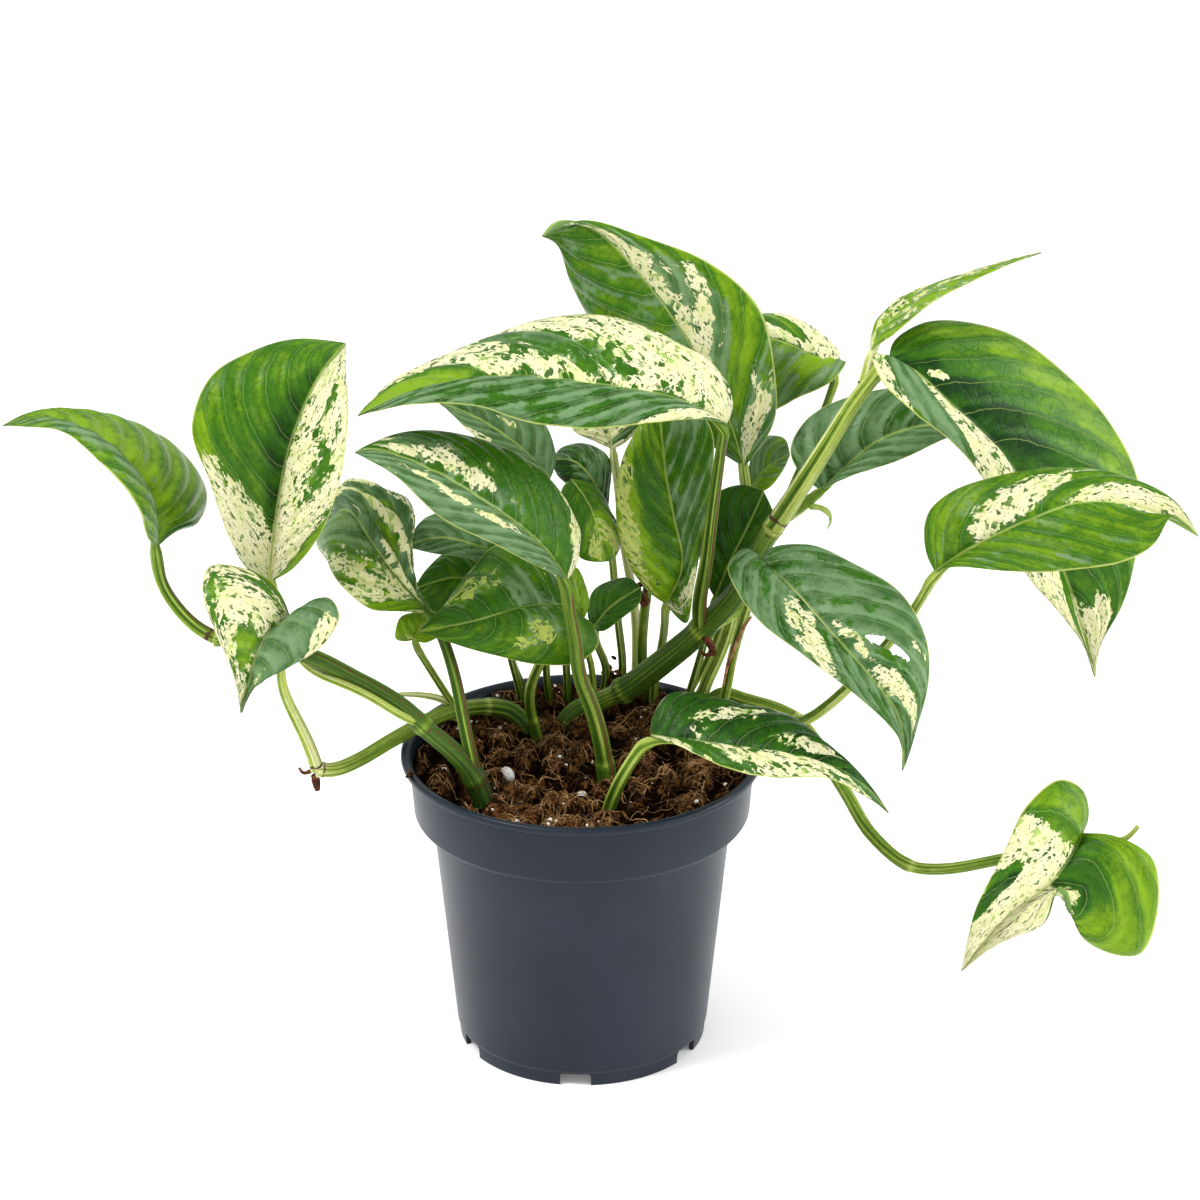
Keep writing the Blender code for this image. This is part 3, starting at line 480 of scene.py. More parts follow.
def leaf_finish(name, under):
    """A blade's face. Point attributes say how creamy, light green and grey-green each part is. Its colour
    also holds a painted highlight, painted sheen and painted shade.
    """
    made = Finish(name, specular=0.08 if under else 0.13)
    math, mix, ranged, plus, swayed = made.math, made.mix, made.ranged, made.plus, made.swayed
    vein = made.uv("vein")
    blade = made.node("ShaderNodeSeparateXYZ", Vector=made.uv("blade")).outputs
    streaks = made.noise(vein, (2.2, 1.15), 6.0, 0.62, 0.35)
    specks = made.noise(vein, (6.4, 2.9), 2.5, 0.5, 0.3)
    dots = made.noise(vein, (12.0, 7.5), 2.0, 0.5, 0.2)
    blots = made.noise(vein, (1.9, 1.0), 5.0, 0.6, 0.4)
    cloud = made.noise(vein, (1.6, 0.8), 5.0, 0.6, 0.4)
    fine = made.noise(vein, (24.0, 14.0), 3.0, 0.6)
    net = made.net(vein, (3.2, 2.2))
    creamy = swayed(made.attribute("cream"), (streaks, 2.6), (specks, 1.2))

    # A field runs from one fine side vein to the next, with its crease half way, and its colour gets a
    # painted highlight on one slope.
    fields = swayed(blade["X"], (made.noise(vein, 1.1, 3.0, 0.6), 0.35))
    slope = math("SUBTRACT", math("FRACT", fields), 0.5)
    from_crease = math("ABSOLUTE", slope)
    painted_highlight = ranged(math("ABSOLUTE", math("SUBTRACT", slope, 0.20)), 0.0, 0.24, 1.0, 0.0)
    lines = ranged(from_crease, 0.472, 0.496)

    tone = swayed(made.attribute("tone"), (blots, 0.7), (specks, 0.22), (fine, 0.35))
    # painted shade: the green is darker towards each side vein
    tone = plus(tone, ranged(from_crease, 0.15, 0.5), -0.17)
    tone = math("ADD", tone, 0.13)
    tone = math("ADD", tone, ranged(net, 0.0, 0.09, -0.06, 0.0))
    tone = plus(tone, painted_highlight, 0.08)
    grey = swayed(made.attribute("grey"), (cloud, 1.4), (specks, 0.4))
    grey = plus(plus(grey, painted_highlight, 0.13), ranged(creamy, 0.30, 0.44), 0.25)
    # painted sheen on the grey-green: lighter on the painted highlight, and darker towards each side vein as
    # painted shade
    painted_sheen = plus(swayed(0.62, (blots, 1.5)), ranged(from_crease, 0.10, 0.48), -0.30)
    painted_sheen = plus(math("SUBTRACT", swayed(painted_sheen, (streaks, 1.2)), 0.10), painted_highlight, 0.35)

    green = mix(ranged(tone, 0.0, 0.45), DARK_GREEN, MID_GREEN)
    green = mix(ranged(tone, 0.40, 0.95), green, LIME_GREEN)
    dull = mix(ranged(painted_sheen, 0.0, 0.85), DULL_GREEN, GREY_GREEN)
    green = mix(ranged(grey, 0.37, 0.57, 0.0, 0.85), green, dull)
    green = mix(math("MULTIPLY", lines, 0.34), green, PALE_RIB)
    cream = mix(ranged(blots, 0.35, 0.7), CREAM, DEEP_CREAM)
    cream = mix(math("MULTIPLY", made.attribute("lime"), 0.9), cream, LIME_CREAM)
    flecks = math("MAXIMUM", ranged(specks, 0.585, 0.600, 0.0, 0.95), ranged(dots, 0.63, 0.65, 0.0, 0.9))
    cream = mix(flecks, cream, mix(ranged(blots, 0.45, 0.62), FLECK_GREEN, PALE_GREEN))
    face = mix(ranged(creamy, 0.485, 0.515), green, cream)
    face = mix(ranged(math("ABSOLUTE", blade["Y"]), 0.25, 0.60, 0.6, 0.0), face, PALE_RIB)
    face = mix(ranged(made.attribute("edge"), 0.975, 0.99, 0.0, 0.7), face, PALE_MARGIN)
    if under:
        face = mix(0.35, face, UNDERSIDE)
    made.colour(face)
    made.roughness(plus(0.50 if under else 0.20, specks, 0.16))
    relief = plus(math("MULTIPLY", fine, 0.6), lines, -0.8)
    made.bump(math("ADD", relief, ranged(net, 0.0, 0.12, -0.35, 0.0)), 0.0003, 0.7)
    return made.material


# How pale a stem's skin has to be, from its first trace to its full strength, for each colour.
STEM_GREENS = (
    (-0.7, -0.05, (0.042, 0.098, 0.006)), (0.0, 0.45, (0.145, 0.245, 0.014)),
    (0.45, 0.80, (0.390, 0.470, 0.090)), (0.95, 1.15, (0.68, 0.68, 0.36)),
)
DARK_STEM = (0.014, 0.038, 0.003)
RUST = (0.120, 0.030, 0.014)
DRY_BROWN = (0.075, 0.036, 0.012)


def stem_finish():
    """Ribbed green skin. Point attributes say how pale, brown and rusty each part is; how pale also holds
    painted highlights and painted shade.
    """
    made = Finish("stem_skin", specular=0.2)
    skin = made.uv("skin")
    stripes = made.noise(skin, (0.10, 13.0), 5.0, 0.62)
    mottle = made.noise(skin, (3.0, 5.0), 4.0, 0.6)
    fine = made.noise(skin, (2.0, 40.0), 2.0, 0.5)
    pale = made.swayed(made.attribute("pale"), (stripes, 3.0), (mottle, 0.5))
    rust = made.swayed(made.attribute("rust"), (stripes, 0.8), (mottle, 0.9))
    brown = made.swayed(made.attribute("brown"), (mottle, 1.6))
    body = DARK_STEM
    for low, high, green in STEM_GREENS:
        body = made.mix(made.ranged(pale, low, high), body, green)
    body = made.mix(made.ranged(rust, 0.35, 0.55, 0.0, 0.9), body, RUST)
    body = made.mix(made.ranged(brown, 0.40, 0.65), body, DRY_BROWN)
    made.colour(body)
    made.roughness(made.plus(0.30, mottle, 0.22))
    made.bump(made.plus(made.math("MULTIPLY", fine, 0.5), stripes, 1.5), 0.0008, 0.7)
    return made.material


def pot_finish():
    """Satin moulded plastic: clouded, faintly scuffed, with a fine-grained skin."""
    made = Finish("pot_plastic", specular=0.24)
    place = made.object_place()
    cloud = made.noise(place, 28.0, 3.0, 0.5)
    scuffs = made.noise(place, (260.0, 260.0, 40.0), 4.0, 0.7)
    body = made.mix(made.ranged(cloud, 0.3, 0.7), (0.005, 0.010, 0.019), (0.008, 0.014, 0.026))
    made.colour(made.mix(made.ranged(scuffs, 0.68, 0.80, 0.0, 0.25), body, (0.045, 0.053, 0.066)))
    made.roughness(made.plus(0.30, cloud, 0.12))
    made.bump(made.noise(place, 1500.0, 2.0, 0.5), 0.00003, 0.5)
    return made.material


def soil_finish():
    """Damp peat, red-brown on its crumbs, with painted shade that makes its hollows near black."""
    made = Finish("peat", roughness=0.9, specular=0.03)
    place = made.object_place()
    lumps = made.noise(place, 220.0, 5.0, 0.7)
    grains = made.noise(place, 1100.0, 3.0, 0.6)
    body = made.mix(made.ranged(lumps, 0.40, 0.66), (0.002, 0.0008, 0.0004), (0.036, 0.013, 0.004))
    body = made.mix(made.ranged(grains, 0.58, 0.70, 0.0, 0.7), body, (0.150, 0.066, 0.020))
    # painted shade: the hollows between the clumps are painted near black
    hollow = made.math("MULTIPLY", made.attribute("hollow"), 0.9)
    made.colour(made.mix(hollow, body, (0.002, 0.0007, 0.0003)))
    made.bump(made.math("ADD", lumps, grains), 0.001, 0.9)
    return made.material


def plain_finish(name, dark, light, scale, roughness, bump, specular=0.1):
    """A mottle between two colours."""
    made = Finish(name, roughness=roughness, specular=specular)
    mottle = made.noise(made.object_place(), scale, 4.0, 0.65)
    made.colour(made.mix(made.ranged(mottle, 0.35, 0.65), dark, light))
    made.bump(mottle, bump, 0.7)
    return made.material


LEAF_TOP = leaf_finish("leaf_face", False)
LEAF_UNDER = leaf_finish("leaf_underside", True)
STEM = stem_finish()
POT = pot_finish()
PEAT = soil_finish()
FIBRE = plain_finish("root_fibre", (0.020, 0.008, 0.003), (0.560, 0.320, 0.135), 110.0, 0.7, 0.0002)
CRUMB = plain_finish("peat_crumb", (0.002, 0.0008, 0.0004), (0.130, 0.054, 0.015), 420.0, 0.85, 0.0008, 0.03)
PERLITE = plain_finish("perlite", (0.62, 0.58, 0.52), (0.88, 0.86, 0.82), 500.0, 0.9, 0.0005)
PAPER = plain_finish("dry_sheath", (0.130, 0.040, 0.020), (0.400, 0.200, 0.100), 300.0, 0.6, 0.0002)
BARK = plain_finish("root_bark", (0.035, 0.012, 0.006), (0.160, 0.055, 0.024), 400.0, 0.8, 0.0004)
YOUNG = plain_finish("young_sheath", (0.190, 0.330, 0.020), (0.440, 0.540, 0.160), 220.0, 0.4, 0.0001)


# Leaves


# For the left and the right half of each: more of cream from -1 to 1, of light green from 0 (dark) to
# 1 (lime), and of grey-green, partly the grey-green of a half-covered patch and partly painted sheen. Then
# spots, as (share along the midrib, place across, reach along, reach across, and what they add of cream,
# of light green and of grey; what is left out is 0). A spot lies along the side veins, so its share is
# where it is at its own place across.
LOOKS = {
    "far_left": ((-0.5, -0.5), (0.5, 0.62), (0.3, 0.1), (
        (0.6, -0.6, 0.25, 0.3, 0, 0, 0.3), (0.05, 0.6, 0.1, 0.5, 0, -0.3),
        (0.45, 0.15, 0.3, 0.14, 0, 0.15, 0.2))),
    "upper_left": ((-0.7, 0.8), (0.45, 0.35), (0.0, 0.1), (
        (0.0, -0.35, 0.37, 0.85, 2.1, -0.1), (0.5, -0.08, 0.35, 0.14, 0, -0.35, 0.1),
        (0.3, -0.85, 0.25, 0.15, 0, 0.4), (0.18, 0.95, 0.17, 0.22, -2.2, 0.5),
        (0.13, 0.15, 0.05, 0.16, -1.6, 0.1), (0.94, 0.25, 0.04, 0.3, -1.6, 0.2),
        (0.5, 0.62, 0.12, 0.3, -0.42, 0.1), (0.69, 0.6, 0.04, 0.2, -0.4), (0.3, 0.5, 0.1, 0.3, 0.25))),
    "lower_left": ((-0.35, 0.6), (0.35, 0.45), (0.8, 0.2), (
        (0.47, -0.9, 0.15, 0.25, 1.4), (0.7, -0.25, 0.15, 0.15, 0.7, 0.4, -0.4),
        (0.16, 0.85, 0.05, 0.2, -1.6, 0.1), (0.5, 0.2, 0.16, 0.14, -0.7, 0.2),
        (0.25, 0.4, 0.12, 0.3, 0.3))),
    "curled": ((0.66, 0.05), (0.55, 0.35), (0.2, 0.8), (
        (0.72, -0.4, 0.24, 0.8, -1.0, 0.1, 0.4), (0.78, 0.85, 0.08, 0.35, 1.2),
        (0.08, -0.5, 0.1, 0.8, -1.4, 0.1), (0.38, 0.3, 0.1, 0.3, 0.7, 0.1, -0.3),
        (0.62, 0.3, 0.03, 0.6, 0.6))),
    "mid_left": ((0.05, -0.3), (0.2, 0.36), (0.85, 0.15), (
        (0.04, 0.75, 0.2, 0.5, 1.5), (0.68, 0.2, 0.3, 0.17, 1.05, 0, 0.3),
        (0.66, -0.45, 0.26, 0.12, 0.55, 0, 0.2), (0.42, -0.42, 0.07, 0.2, 0.6),
        (0.22, -0.04, 0.22, 0.07, 0.9), (0.78, 0.55, 0.14, 0.3, 0.68, 0, 0.5),
        (0.56, 0.55, 0.05, 0.16, 0.7))),
    "upper_long": ((-0.6, 0.68), (0.24, 0.35), (0.46, 0.1), (
        (0.03, -0.5, 0.1, 1.2, 1.9), (0.45, -0.05, 0.2, 0.06, 0.9), (0.85, 0.15, 0.14, 0.5, -2.2, 0.5),
        (0.97, 0.0, 0.12, 2.0, -1.8, 0.5, -0.6), (0.46, 0.35, 0.12, 0.25, -0.45, 0, 0.2),
        (0.56, 0.62, 0.05, 0.22, -1.0, 0, 0.5), (0.12, 0.4, 0.12, 0.4, 0.2))),
    "top": ((-0.6, 0.0), (0.46, 0.5), (0.36, 0.45), (
        (0.1, 0.5, 0.1, 0.5, 0.9), (0.72, 0.25, 0.13, 0.4, 0.85), (0.4, 0.1, 0.14, 0.12, 0.6),
        (0.53, 0.62, 0.035, 0.45, 0.75), (0.34, 0.62, 0.07, 0.4, -0.5, 0.1, -0.6),
        (0.66, 0.95, 0.3, 0.14, -0.4, 0.0, -0.6), (0.48, 0.38, 0.22, 0.35, 0.32, 0.1, 0.25))),
    "back_right": ((-0.6, 0.85), (0.62, 0.4), (0.42, 0.0), (
        (0.52, 0.6, 0.09, 0.32, -1.9, 0.1), (0.22, -0.3, 0.14, 0.3, 0, 0.4, -0.4))),
    "young": ((0.5, 0.32), (0.68, 0.72), (0.15, 0.3), ()),
    "right_tall": ((-0.7, 0.76), (0.36, 0.4), (-0.2, 0.2), (
        (0.15, -0.16, 0.025, 0.08, 2.6), (0.12, 0.5, 0.1, 0.6, -1.9, 0, 0.9),
        (0.25, -0.15, 0.35, 0.22, 0, -0.35, 0.2), (0.4, -0.9, 0.35, 0.25, 0, 0.25),
        (0.8, 0.3, 0.06, 0.6, -1.6), (0.92, -0.38, 0.13, 0.5, 1.8), (0.96, -0.78, 0.11, 0.42, 1.8))),
    "right_low": ((-0.12, -0.7), (0.46, 0.5), (0.1, 0.22), (
        (0.4, -0.35, 0.15, 0.55, 0.92), (0.8, -0.35, 0.19, 0.7, 1.02), (0.84, 0.15, 0.07, 0.25, 1.7),
        (0.6, -0.4, 0.03, 0.5, -0.6), (0.2, -0.6, 0.12, 0.4, 0, 0.2, 0.3))),
    "behind_stem": ((-0.7, -0.6), (0.25, 0.3), (0.6, 0.7), (
        (0.6, 0.85, 0.3, 0.12, 0.7), (0.45, 0.45, 0.2, 0.12, 0.2, 0.1, 0.3))),
    "right_mid": ((-0.5, -0.5), (0.32, 0.26), (0.54, 0.52), (
        (0.73, -0.32, 0.11, 0.42, 1.35), (0.48, -0.12, 0.09, 0.12, 1.2), (0.45, 0.52, 0.11, 0.66, 1.3),
        (0.62, -0.8, 0.05, 0.2, 0.9, 0.3), (0.55, -0.45, 0.06, 0.12, 0.8, 0.2))),
    "front": ((-0.35, 0.64), (0.13, 0.3), (0.0, 0.05), (
        (0.36, -0.55, 0.1, 0.55, 0.9), (0.62, -0.25, 0.16, 0.22, 0.85), (0.1, 0.3, 0.1, 0.6, -1.5),
        (0.85, 0.3, 0.14, 0.8, -1.5, 0, 0.3), (0.4, 0.05, 0.3, 0.09, -1.0, 0.1),
        (0.75, -0.6, 0.14, 0.4, 0.4, 0, 0.2))),
    "low_right": ((-0.9, 0.7), (0.66, 0.4), (-0.3, -0.5), (
        (0.83, -0.5, 0.33, 1.6, 2.1, -0.35), (0.44, 0.8, 0.1, 0.28, 0.6), (0.3, -0.2, 0.3, 0.25, 0, -0.35),
        (0.1, 0.5, 0.2, 0.6, -1.7, 0.2, 0.1), (0.64, 0.75, 0.1, 0.25, -1.6, -0.2),
        (0.9, 0.3, 0.15, 0.6, 0.4))),
    "centre": ((-0.3, -0.6), (0.58, 0.4), (0.1, 0.42), (
        (0.4, -0.9, 0.45, 0.25, 0.6, 0.2), (0.16, -0.6, 0.28, 0.6, 0.35, 0.25),
        (0.3, -0.8, 0.05, 0.2, 0, -0.35), (0.48, -0.85, 0.04, 0.2, 0.3, -0.3),
        (0.62, -0.65, 0.06, 0.2, 0, -0.35), (0.15, 0.6, 0.17, 0.6, 1.25, 0.2, -0.2),
        (0.6, -0.8, 0.15, 0.2, 0.4, 0.2), (0.45, -0.3, 0.3, 0.25, 0, -0.25),
        (0.4, -0.95, 0.45, 0.35, 0, 0.25))),
    "dark_upper": ((-0.8, -0.8), (0.1, 0.1), (0.4, 0.4), ()),
    "dark_lower": ((-0.3, -0.3), (0.45, 0.35), (0.0, 0.0), (
        (0.75, 0.3, 0.25, 0.7, 0.9, 0.35), (0.65, -0.5, 0.2, 0.4, 0.8, 0.35))),
    "under_long": ((-0.05, 0.0), (0.3, 0.3), (0.95, 0.95), (
        (0.58, 0.3, 0.15, 0.08, 0.6), (0.66, -0.9, 0.1, 0.2, 1.3))),
    "striped": ((-0.25, -0.4), (0.25, 0.3), (0.62, 0.55), ()),
    "dark_left": ((-0.6, -0.6), (0.4, 0.35), (0.1, 0.0), ()),
    "broad_front": ((-0.35, -0.4), (0.4, 0.26), (0.1, 0.2), (
        (0.42, -0.48, 0.13, 0.3, 0.95, 0.25), (0.66, 0.62, 0.22, 0.36, 0.92, 0.25),
        (0.3, 0.7, 0.14, 0.26, 0.5, 0.2), (0.95, 0.0, 0.14, 1.5, 0, 0.4, -0.5),
        (0.2, 0.0, 0.2, 0.6, 0, 0, 0.35))),
    "small_right": ((-0.8, -0.8), (0.3, 0.3), (0.2, 0.2), ()),
    "dark_right": ((-0.7, -0.6), (0.22, 0.26), (0.0, 0.1), ((0.6, 0.9, 0.2, 0.2, 0.5, 0.6),)),
    "back_tip": ((-0.3, -0.3), (0.75, 0.8), (0.5, 0.4), ()),
    "cream_top": ((0.8, 0.8), (0.4, 0.5), (0.3, 0.3), ((0.25, 0.5, 0.08, 0.6, -1.2, 0, 0.4),)),
    "lime": ((0.45, 0.25), (0.8, 0.95), (-0.3, -0.3), ()),
    "behind_base": ((0.15, 0.05), (0.8, 0.7), (0.2, 0.2), ()),
}
LIMY = {  # how far the cream of a left and a right half turns to lime
    "broad_front": (0.9, 0.9), "centre": (0.8, 0.1), "dark_lower": (0.8, 0.8), "behind_base": (0.5, 0.5),
    "lime": (0.6, 0.6), "curled": (0.25, 0.15), "far_left": (0.8, 0.8), "young": (0.35, 0.35),
}
PLEATS = {"curled": (17.0, 2.0)}  # how close together the folds of a right half are, and how deep
PLEAT_LOOKS = (0.70, -0.22, 0.40)  # what the crest of a fold adds of cream, of light green and of grey
HOLES = {"right_mid": (0.575, -0.43, 0.028, 0.19)}  # a torn hole, placed and sized as a spot is
LOBES = {"low_right": (0.65, 0.37)}  # the share of a left margin where its notch is, and of the midrib there
VEIN_SWEEP = 0.36  # how much further along the margin a side vein ends than it starts
LONG_BLADE = 70.0
LONG_GRID = (110, 41, 10)  # rows, columns and side veins of a blade longer than that
SHORT_GRID = (68, 29, 7)
BLADE_THICKNESS = 0.5
QUILT_RISE = 2.4  # of the fields between the side veins, at most
GROOVE_DEPTH = 0.55  # along the midrib
RIPPLE_RISE = 0.9  # of the wavy margin


def swept(along, across):
    """The share along the midrib at which the side vein through this place starts."""
    return along - VEIN_SWEEP * np.abs(across) ** 1.2


def from_spot(along, across, spot):
    """How far a place is from a spot's middle, along and across, as shares of the spot's reach."""
    ahead, aside, reach_ahead, reach_aside = spot
    return (swept(along, across) - swept(ahead, aside)) / reach_ahead, (across - aside) / reach_aside


def blade_frame(outline, rows):
    """Rows along a blade: their shares, the midrib, both margins and the way up."""
    at = np.linspace(0.0, 1.0, rows)
    midrib, left, right = (np.array(line, float) for line in outline)
    spine = smooth_curve(midrib, at)
    sides = [smooth_curve(np.vstack((midrib[:1], side, midrib[-1:])), at) for side in (left, right)]
    upwards = unit(np.cross(sides[1] - sides[0], np.gradient(spine, axis=0)))
    return at, spine, sides, upwards


def blade_grid(name, at, across, spine, sides):
    """The places of a blade without relief: rows to the tip, and columns from left to right."""
    out = np.abs(across)
    side = np.where((across < 0)[None, :, None], sides[0][:, None], sides[1][:, None])
    feet = spine[:, None]
    if name in LOBES:
        notch, reached = LOBES[name]
        drawn = smooth_curve(LEAVES[name][0], np.interp(at, (0, notch, 1), (0, reached, 1)))
        turned = (np.clip(out / 0.2, 0, 1) * (across < 0))[None, :, None]
        feet = feet * (1 - turned) + drawn[:, None] * turned
    return feet + out[None, :, None] * (side - feet)


def blade_relief(name, at, across, half, width, veins):
    """How far a blade rises over its grid: quilted, grooved along its midrib and wavy at its margin."""
    phases = DICE.uniform(0, 2 * pi, 6)
    at, across = at[:, None], across[None, :]
    out, left, right = np.abs(across), across < 0, across > 0
    field = np.abs(np.sin(pi * veins * swept(at, across))) ** 0.8
    uneven = 0.75 + 0.25 * np.sin(7 * at + 3 * across + phases[2])
    quilt = QUILT_RISE * field * uneven * np.sqrt(4 * out * (1 - out)) * np.clip(half / 22, 0.3, 1.0)
    groove = -GROOVE_DEPTH * np.exp(-((out * half / 0.9) ** 2))
    wave = np.sin(4.2 * at * pi + phases[0]) * right + np.sin(4.8 * at * pi + phases[1]) * left
    ripple = RIPPLE_RISE * wave * out**3 * np.clip(half / 18, 0, 1)
    pleats, depth = PLEATS.get(name, (0, 0))
    folds = depth * np.sin(pleats * out) * np.sin(pi * at) * right
    ends = np.clip(8 * at * (1 - at), 0, 1)
    return 0.10 * width[:, None] * 4 * out * (1 - out) + 0.2 + (quilt + groove + ripple + folds) * ends


def blade_faces(rows, columns):
    """Faces as corners (row, column). The first and the last row are one point each."""
    steps = range(columns - 1)
    faces = [((0, step + 0.5), (1, step + 1), (1, step)) for step in steps]
    for row in range(1, rows - 2):
        faces += [((row, step), (row, step + 1), (row + 1, step + 1), (row + 1, step)) for step in steps]
    return faces + [((rows - 1, step + 0.5), (rows - 2, step), (rows - 2, step + 1)) for step in steps]


def blade_maps(mesh, faces, at, across, length, width, veins):
    """Two maps: vein, in centimetres across and along the side veins, and blade, in fields passed
    and millimetres from the midrib."""
    flat = np.array([corner for face in faces for corner in face])
    u = flat[:, 0] / (len(at) - 1)
    v = np.interp(flat[:, 1], np.arange(len(across)), across)
    s = swept(u, v)
    slant = np.arctan2(0.9 * width.max(), VEIN_SWEEP * length)
    along_vein = u * length * cos(slant) + np.abs(v) * width.max() * sin(slant)
    totals = np.array([len(face) for face in faces])
    right_half = np.add.reduceat(v, np.cumsum(totals) - totals) > 0
    seed = DICE.uniform(0, 50, 2) + 20 * np.repeat(right_half, totals)[:, None]
    loop_map(mesh, "vein", np.stack((s * length * sin(slant), along_vein), axis=1) / 10 + seed)
    loop_map(mesh, "blade", np.stack((s * veins + 0.5, v * np.interp(u, at, width)), axis=1))


def blade_looks(mesh, name, at, across):
    """The point attributes that a blade's finish reads."""
    *pairs, spots = LOOKS[name]
    pairs.append(LIMY.get(name, (0.0, 0.0)))
    inner = np.stack(np.meshgrid(at[1:-1], across, indexing="ij"), -1).reshape(-1, 2)
    u, v = np.vstack(([[0.0, 0.0], [1.0, 0.0]], inner)).T
    right = np.clip(v * 12 + 0.5, 0, 1)
    looks = [pair[0] * (1 - right) + pair[1] * right for pair in pairs]

    def add(weight, gains):
        for number, gain in enumerate(gains):
            looks[number] = looks[number] + gain * weight

    for spot in spots:
        x, y = from_spot(u, v, spot[:4])
        add(np.exp(-((x**2 + y**2) ** 2)), spot[4:])
    if name in PLEATS:
        add(np.sin(PLEATS[name][0] * np.abs(v)) * (v > 0), PLEAT_LOOKS)
    for label, look in zip(("cream", "tone", "grey", "lime", "edge"), (*looks, np.abs(v))):
        point_attribute(mesh, label, look)


def leaf(name, outline):
    """One blade, made as its upper face and thickened downwards."""
    length = lengths_along(outline[0])[-1]
    rows, columns, veins = LONG_GRID if length > LONG_BLADE else SHORT_GRID
    at, spine, sides, upwards = blade_frame(outline, rows)
    across = np.linspace(-1.0, 1.0, columns)
    reach = [np.linalg.norm(side - spine, axis=1) for side in sides]
    width = (reach[0] + reach[1]) / 2
    half = np.where(across < 0, reach[0][:, None], reach[1][:, None])
    relief = blade_relief(name, at, across, half, width, veins)
    grid = blade_grid(name, at, across, spine, sides) + upwards[:, None] * relief[:, :, None]
    faces = blade_faces(rows, columns)
    if name in HOLES:
        grid, faces = pricked(grid, at, across, faces, HOLES[name])

    def index(row, column):
        ends = {0: 0, rows - 1: 1}
        return ends[row] if row in ends else 2 + (row - 1) * columns + int(column)

    points = np.vstack((spine[:1], spine[-1:], grid[1:-1].reshape(-1, 3)))
    mesh = mesh_of(name, points, [[index(*corner) for corner in face] for face in faces])
    blade_maps(mesh, faces, at, across, length, width, veins)
    blade_looks(mesh, name, at, across)
    made = piece(f"blade_{name}", mesh, "leaf", (LEAF_TOP, LEAF_UNDER), f"leaf_{name}")
    thicken = made.modifiers.new("thickness", "SOLIDIFY")
    thicken.thickness = BLADE_THICKNESS * MM
    thicken.offset = -1.0
    thicken.material_offset = 1
    thicken.material_offset_rim = 1


def pricked(grid, at, across, faces, hole):
    """The blade's grid with the edge of a hole drawn in, and the faces that are left round it."""
    ahead, aside, reach_ahead, reach_aside = hole

    def in_hole(face):
        middle = np.mean([(at[int(row)], across[int(column)]) for row, column in face], axis=0)
        return np.hypot(*from_spot(*middle, hole)) <= 1

    kept = [face for face in faces if not in_hole(face)]
    x, y = from_spot(at[:, None], across[None, :], hole)
    y = np.broadcast_to(y, x.shape)
    far = np.hypot(x, y)
    moved = grid.copy()
    for i, j in {(int(row), int(column)) for face in kept for row, column in face}:
        if far[i, j] >= 1 or not 0 < i < len(at) - 1:
            continue
        v = aside + y[i, j] / far[i, j] * reach_aside
        u = swept(ahead, aside) + x[i, j] / far[i, j] * reach_ahead + VEIN_SWEEP * abs(v) ** 1.2
        row, column = u * (len(at) - 1), (v + 1) / 2 * (len(across) - 1)
        a, b = int(row), int(column)
        p, q = row - a, column - b
        moved[i, j] = (
            grid[a, b] * (1 - p) * (1 - q) + grid[a + 1, b] * p * (1 - q)
            + grid[a, b + 1] * (1 - p) * q + grid[a + 1, b + 1] * p * q
        )
    return moved, kept


# Stems


# How pale each stem is, and how rusty its edges are, where that differs from most.
STEM_TINTS = {
    "right_tall": (0.62, 0.1), "cream_top": (1.1, 0.0), "far_left": (0.35, 0.9), "young": (1.1, 0.0),
    "vine_left_high": (0.0, 0.75), "vine_left_low": (0.42, 0.3), "upper_left": (0.8, 0.1),
    "mid_left": (0.30, 0.95), "upper_long": (0.26, 1.0), "curled": (0.12, 0.95), "shoot": (1.05, 0.0),
    "vine_right_main": (0.0, 0.3), "vine_right_low": (0.38, 0.5), "front": (0.45, 0.0),
    "top": (0.70, 0.0), "back_right": (0.70, 0.1), "lower_left": (0.85, 0.1), "centre": (0.6, 0.3),
    "right_mid": (0.55, 0.7), "right_low": (0.6, 0.3),
}
MOST_TINTS = (0.5, 0.4)
RINGS = {  # a joint on the stem, in millimetres from its foot
    "mid_left": 15, "right_mid": 20, "broad_front": 13, "top": 16, "vine_right_main": 31,
    "vine_left_low": 24, "vine_right_low": 132,
}
# Where a foot is thinner up to its joint: the joint, the share of the width, and how much paler it is.
HEELS = {"vine_right_main": (30, 0.68, 0.55)}
# Ribs, their height as a share of the radius, points round the stem and rounds of smoothing.
VINE_SKIN = (8, 0.036, 40, 8)
STALK_SKIN = (5, 0.030, 32, 40)
VINE_RUST = (1.45, 0.24)  # where the rusty edge is round the stem, and how wide, in radians
STALK_RUST = (1.35, 0.36)
STEM_STEP = 1.2  # between the points along a stem
CHANNEL_FACING = (-0.55, -1.0, 0.35)  # the side of a stalk that its sheath's channel is on
CHANNEL_EDGE = 0.62  # from the channel's middle to its raised edge, in radians
CHANNEL_DEPTH = 0.34  # as a share of the stalk's radius, as is the rise of its edges
CHANNEL_RIM = 0.10
UNDER_BLADE = 0.45  # the share of the midrib along which a stalk runs on under its blade


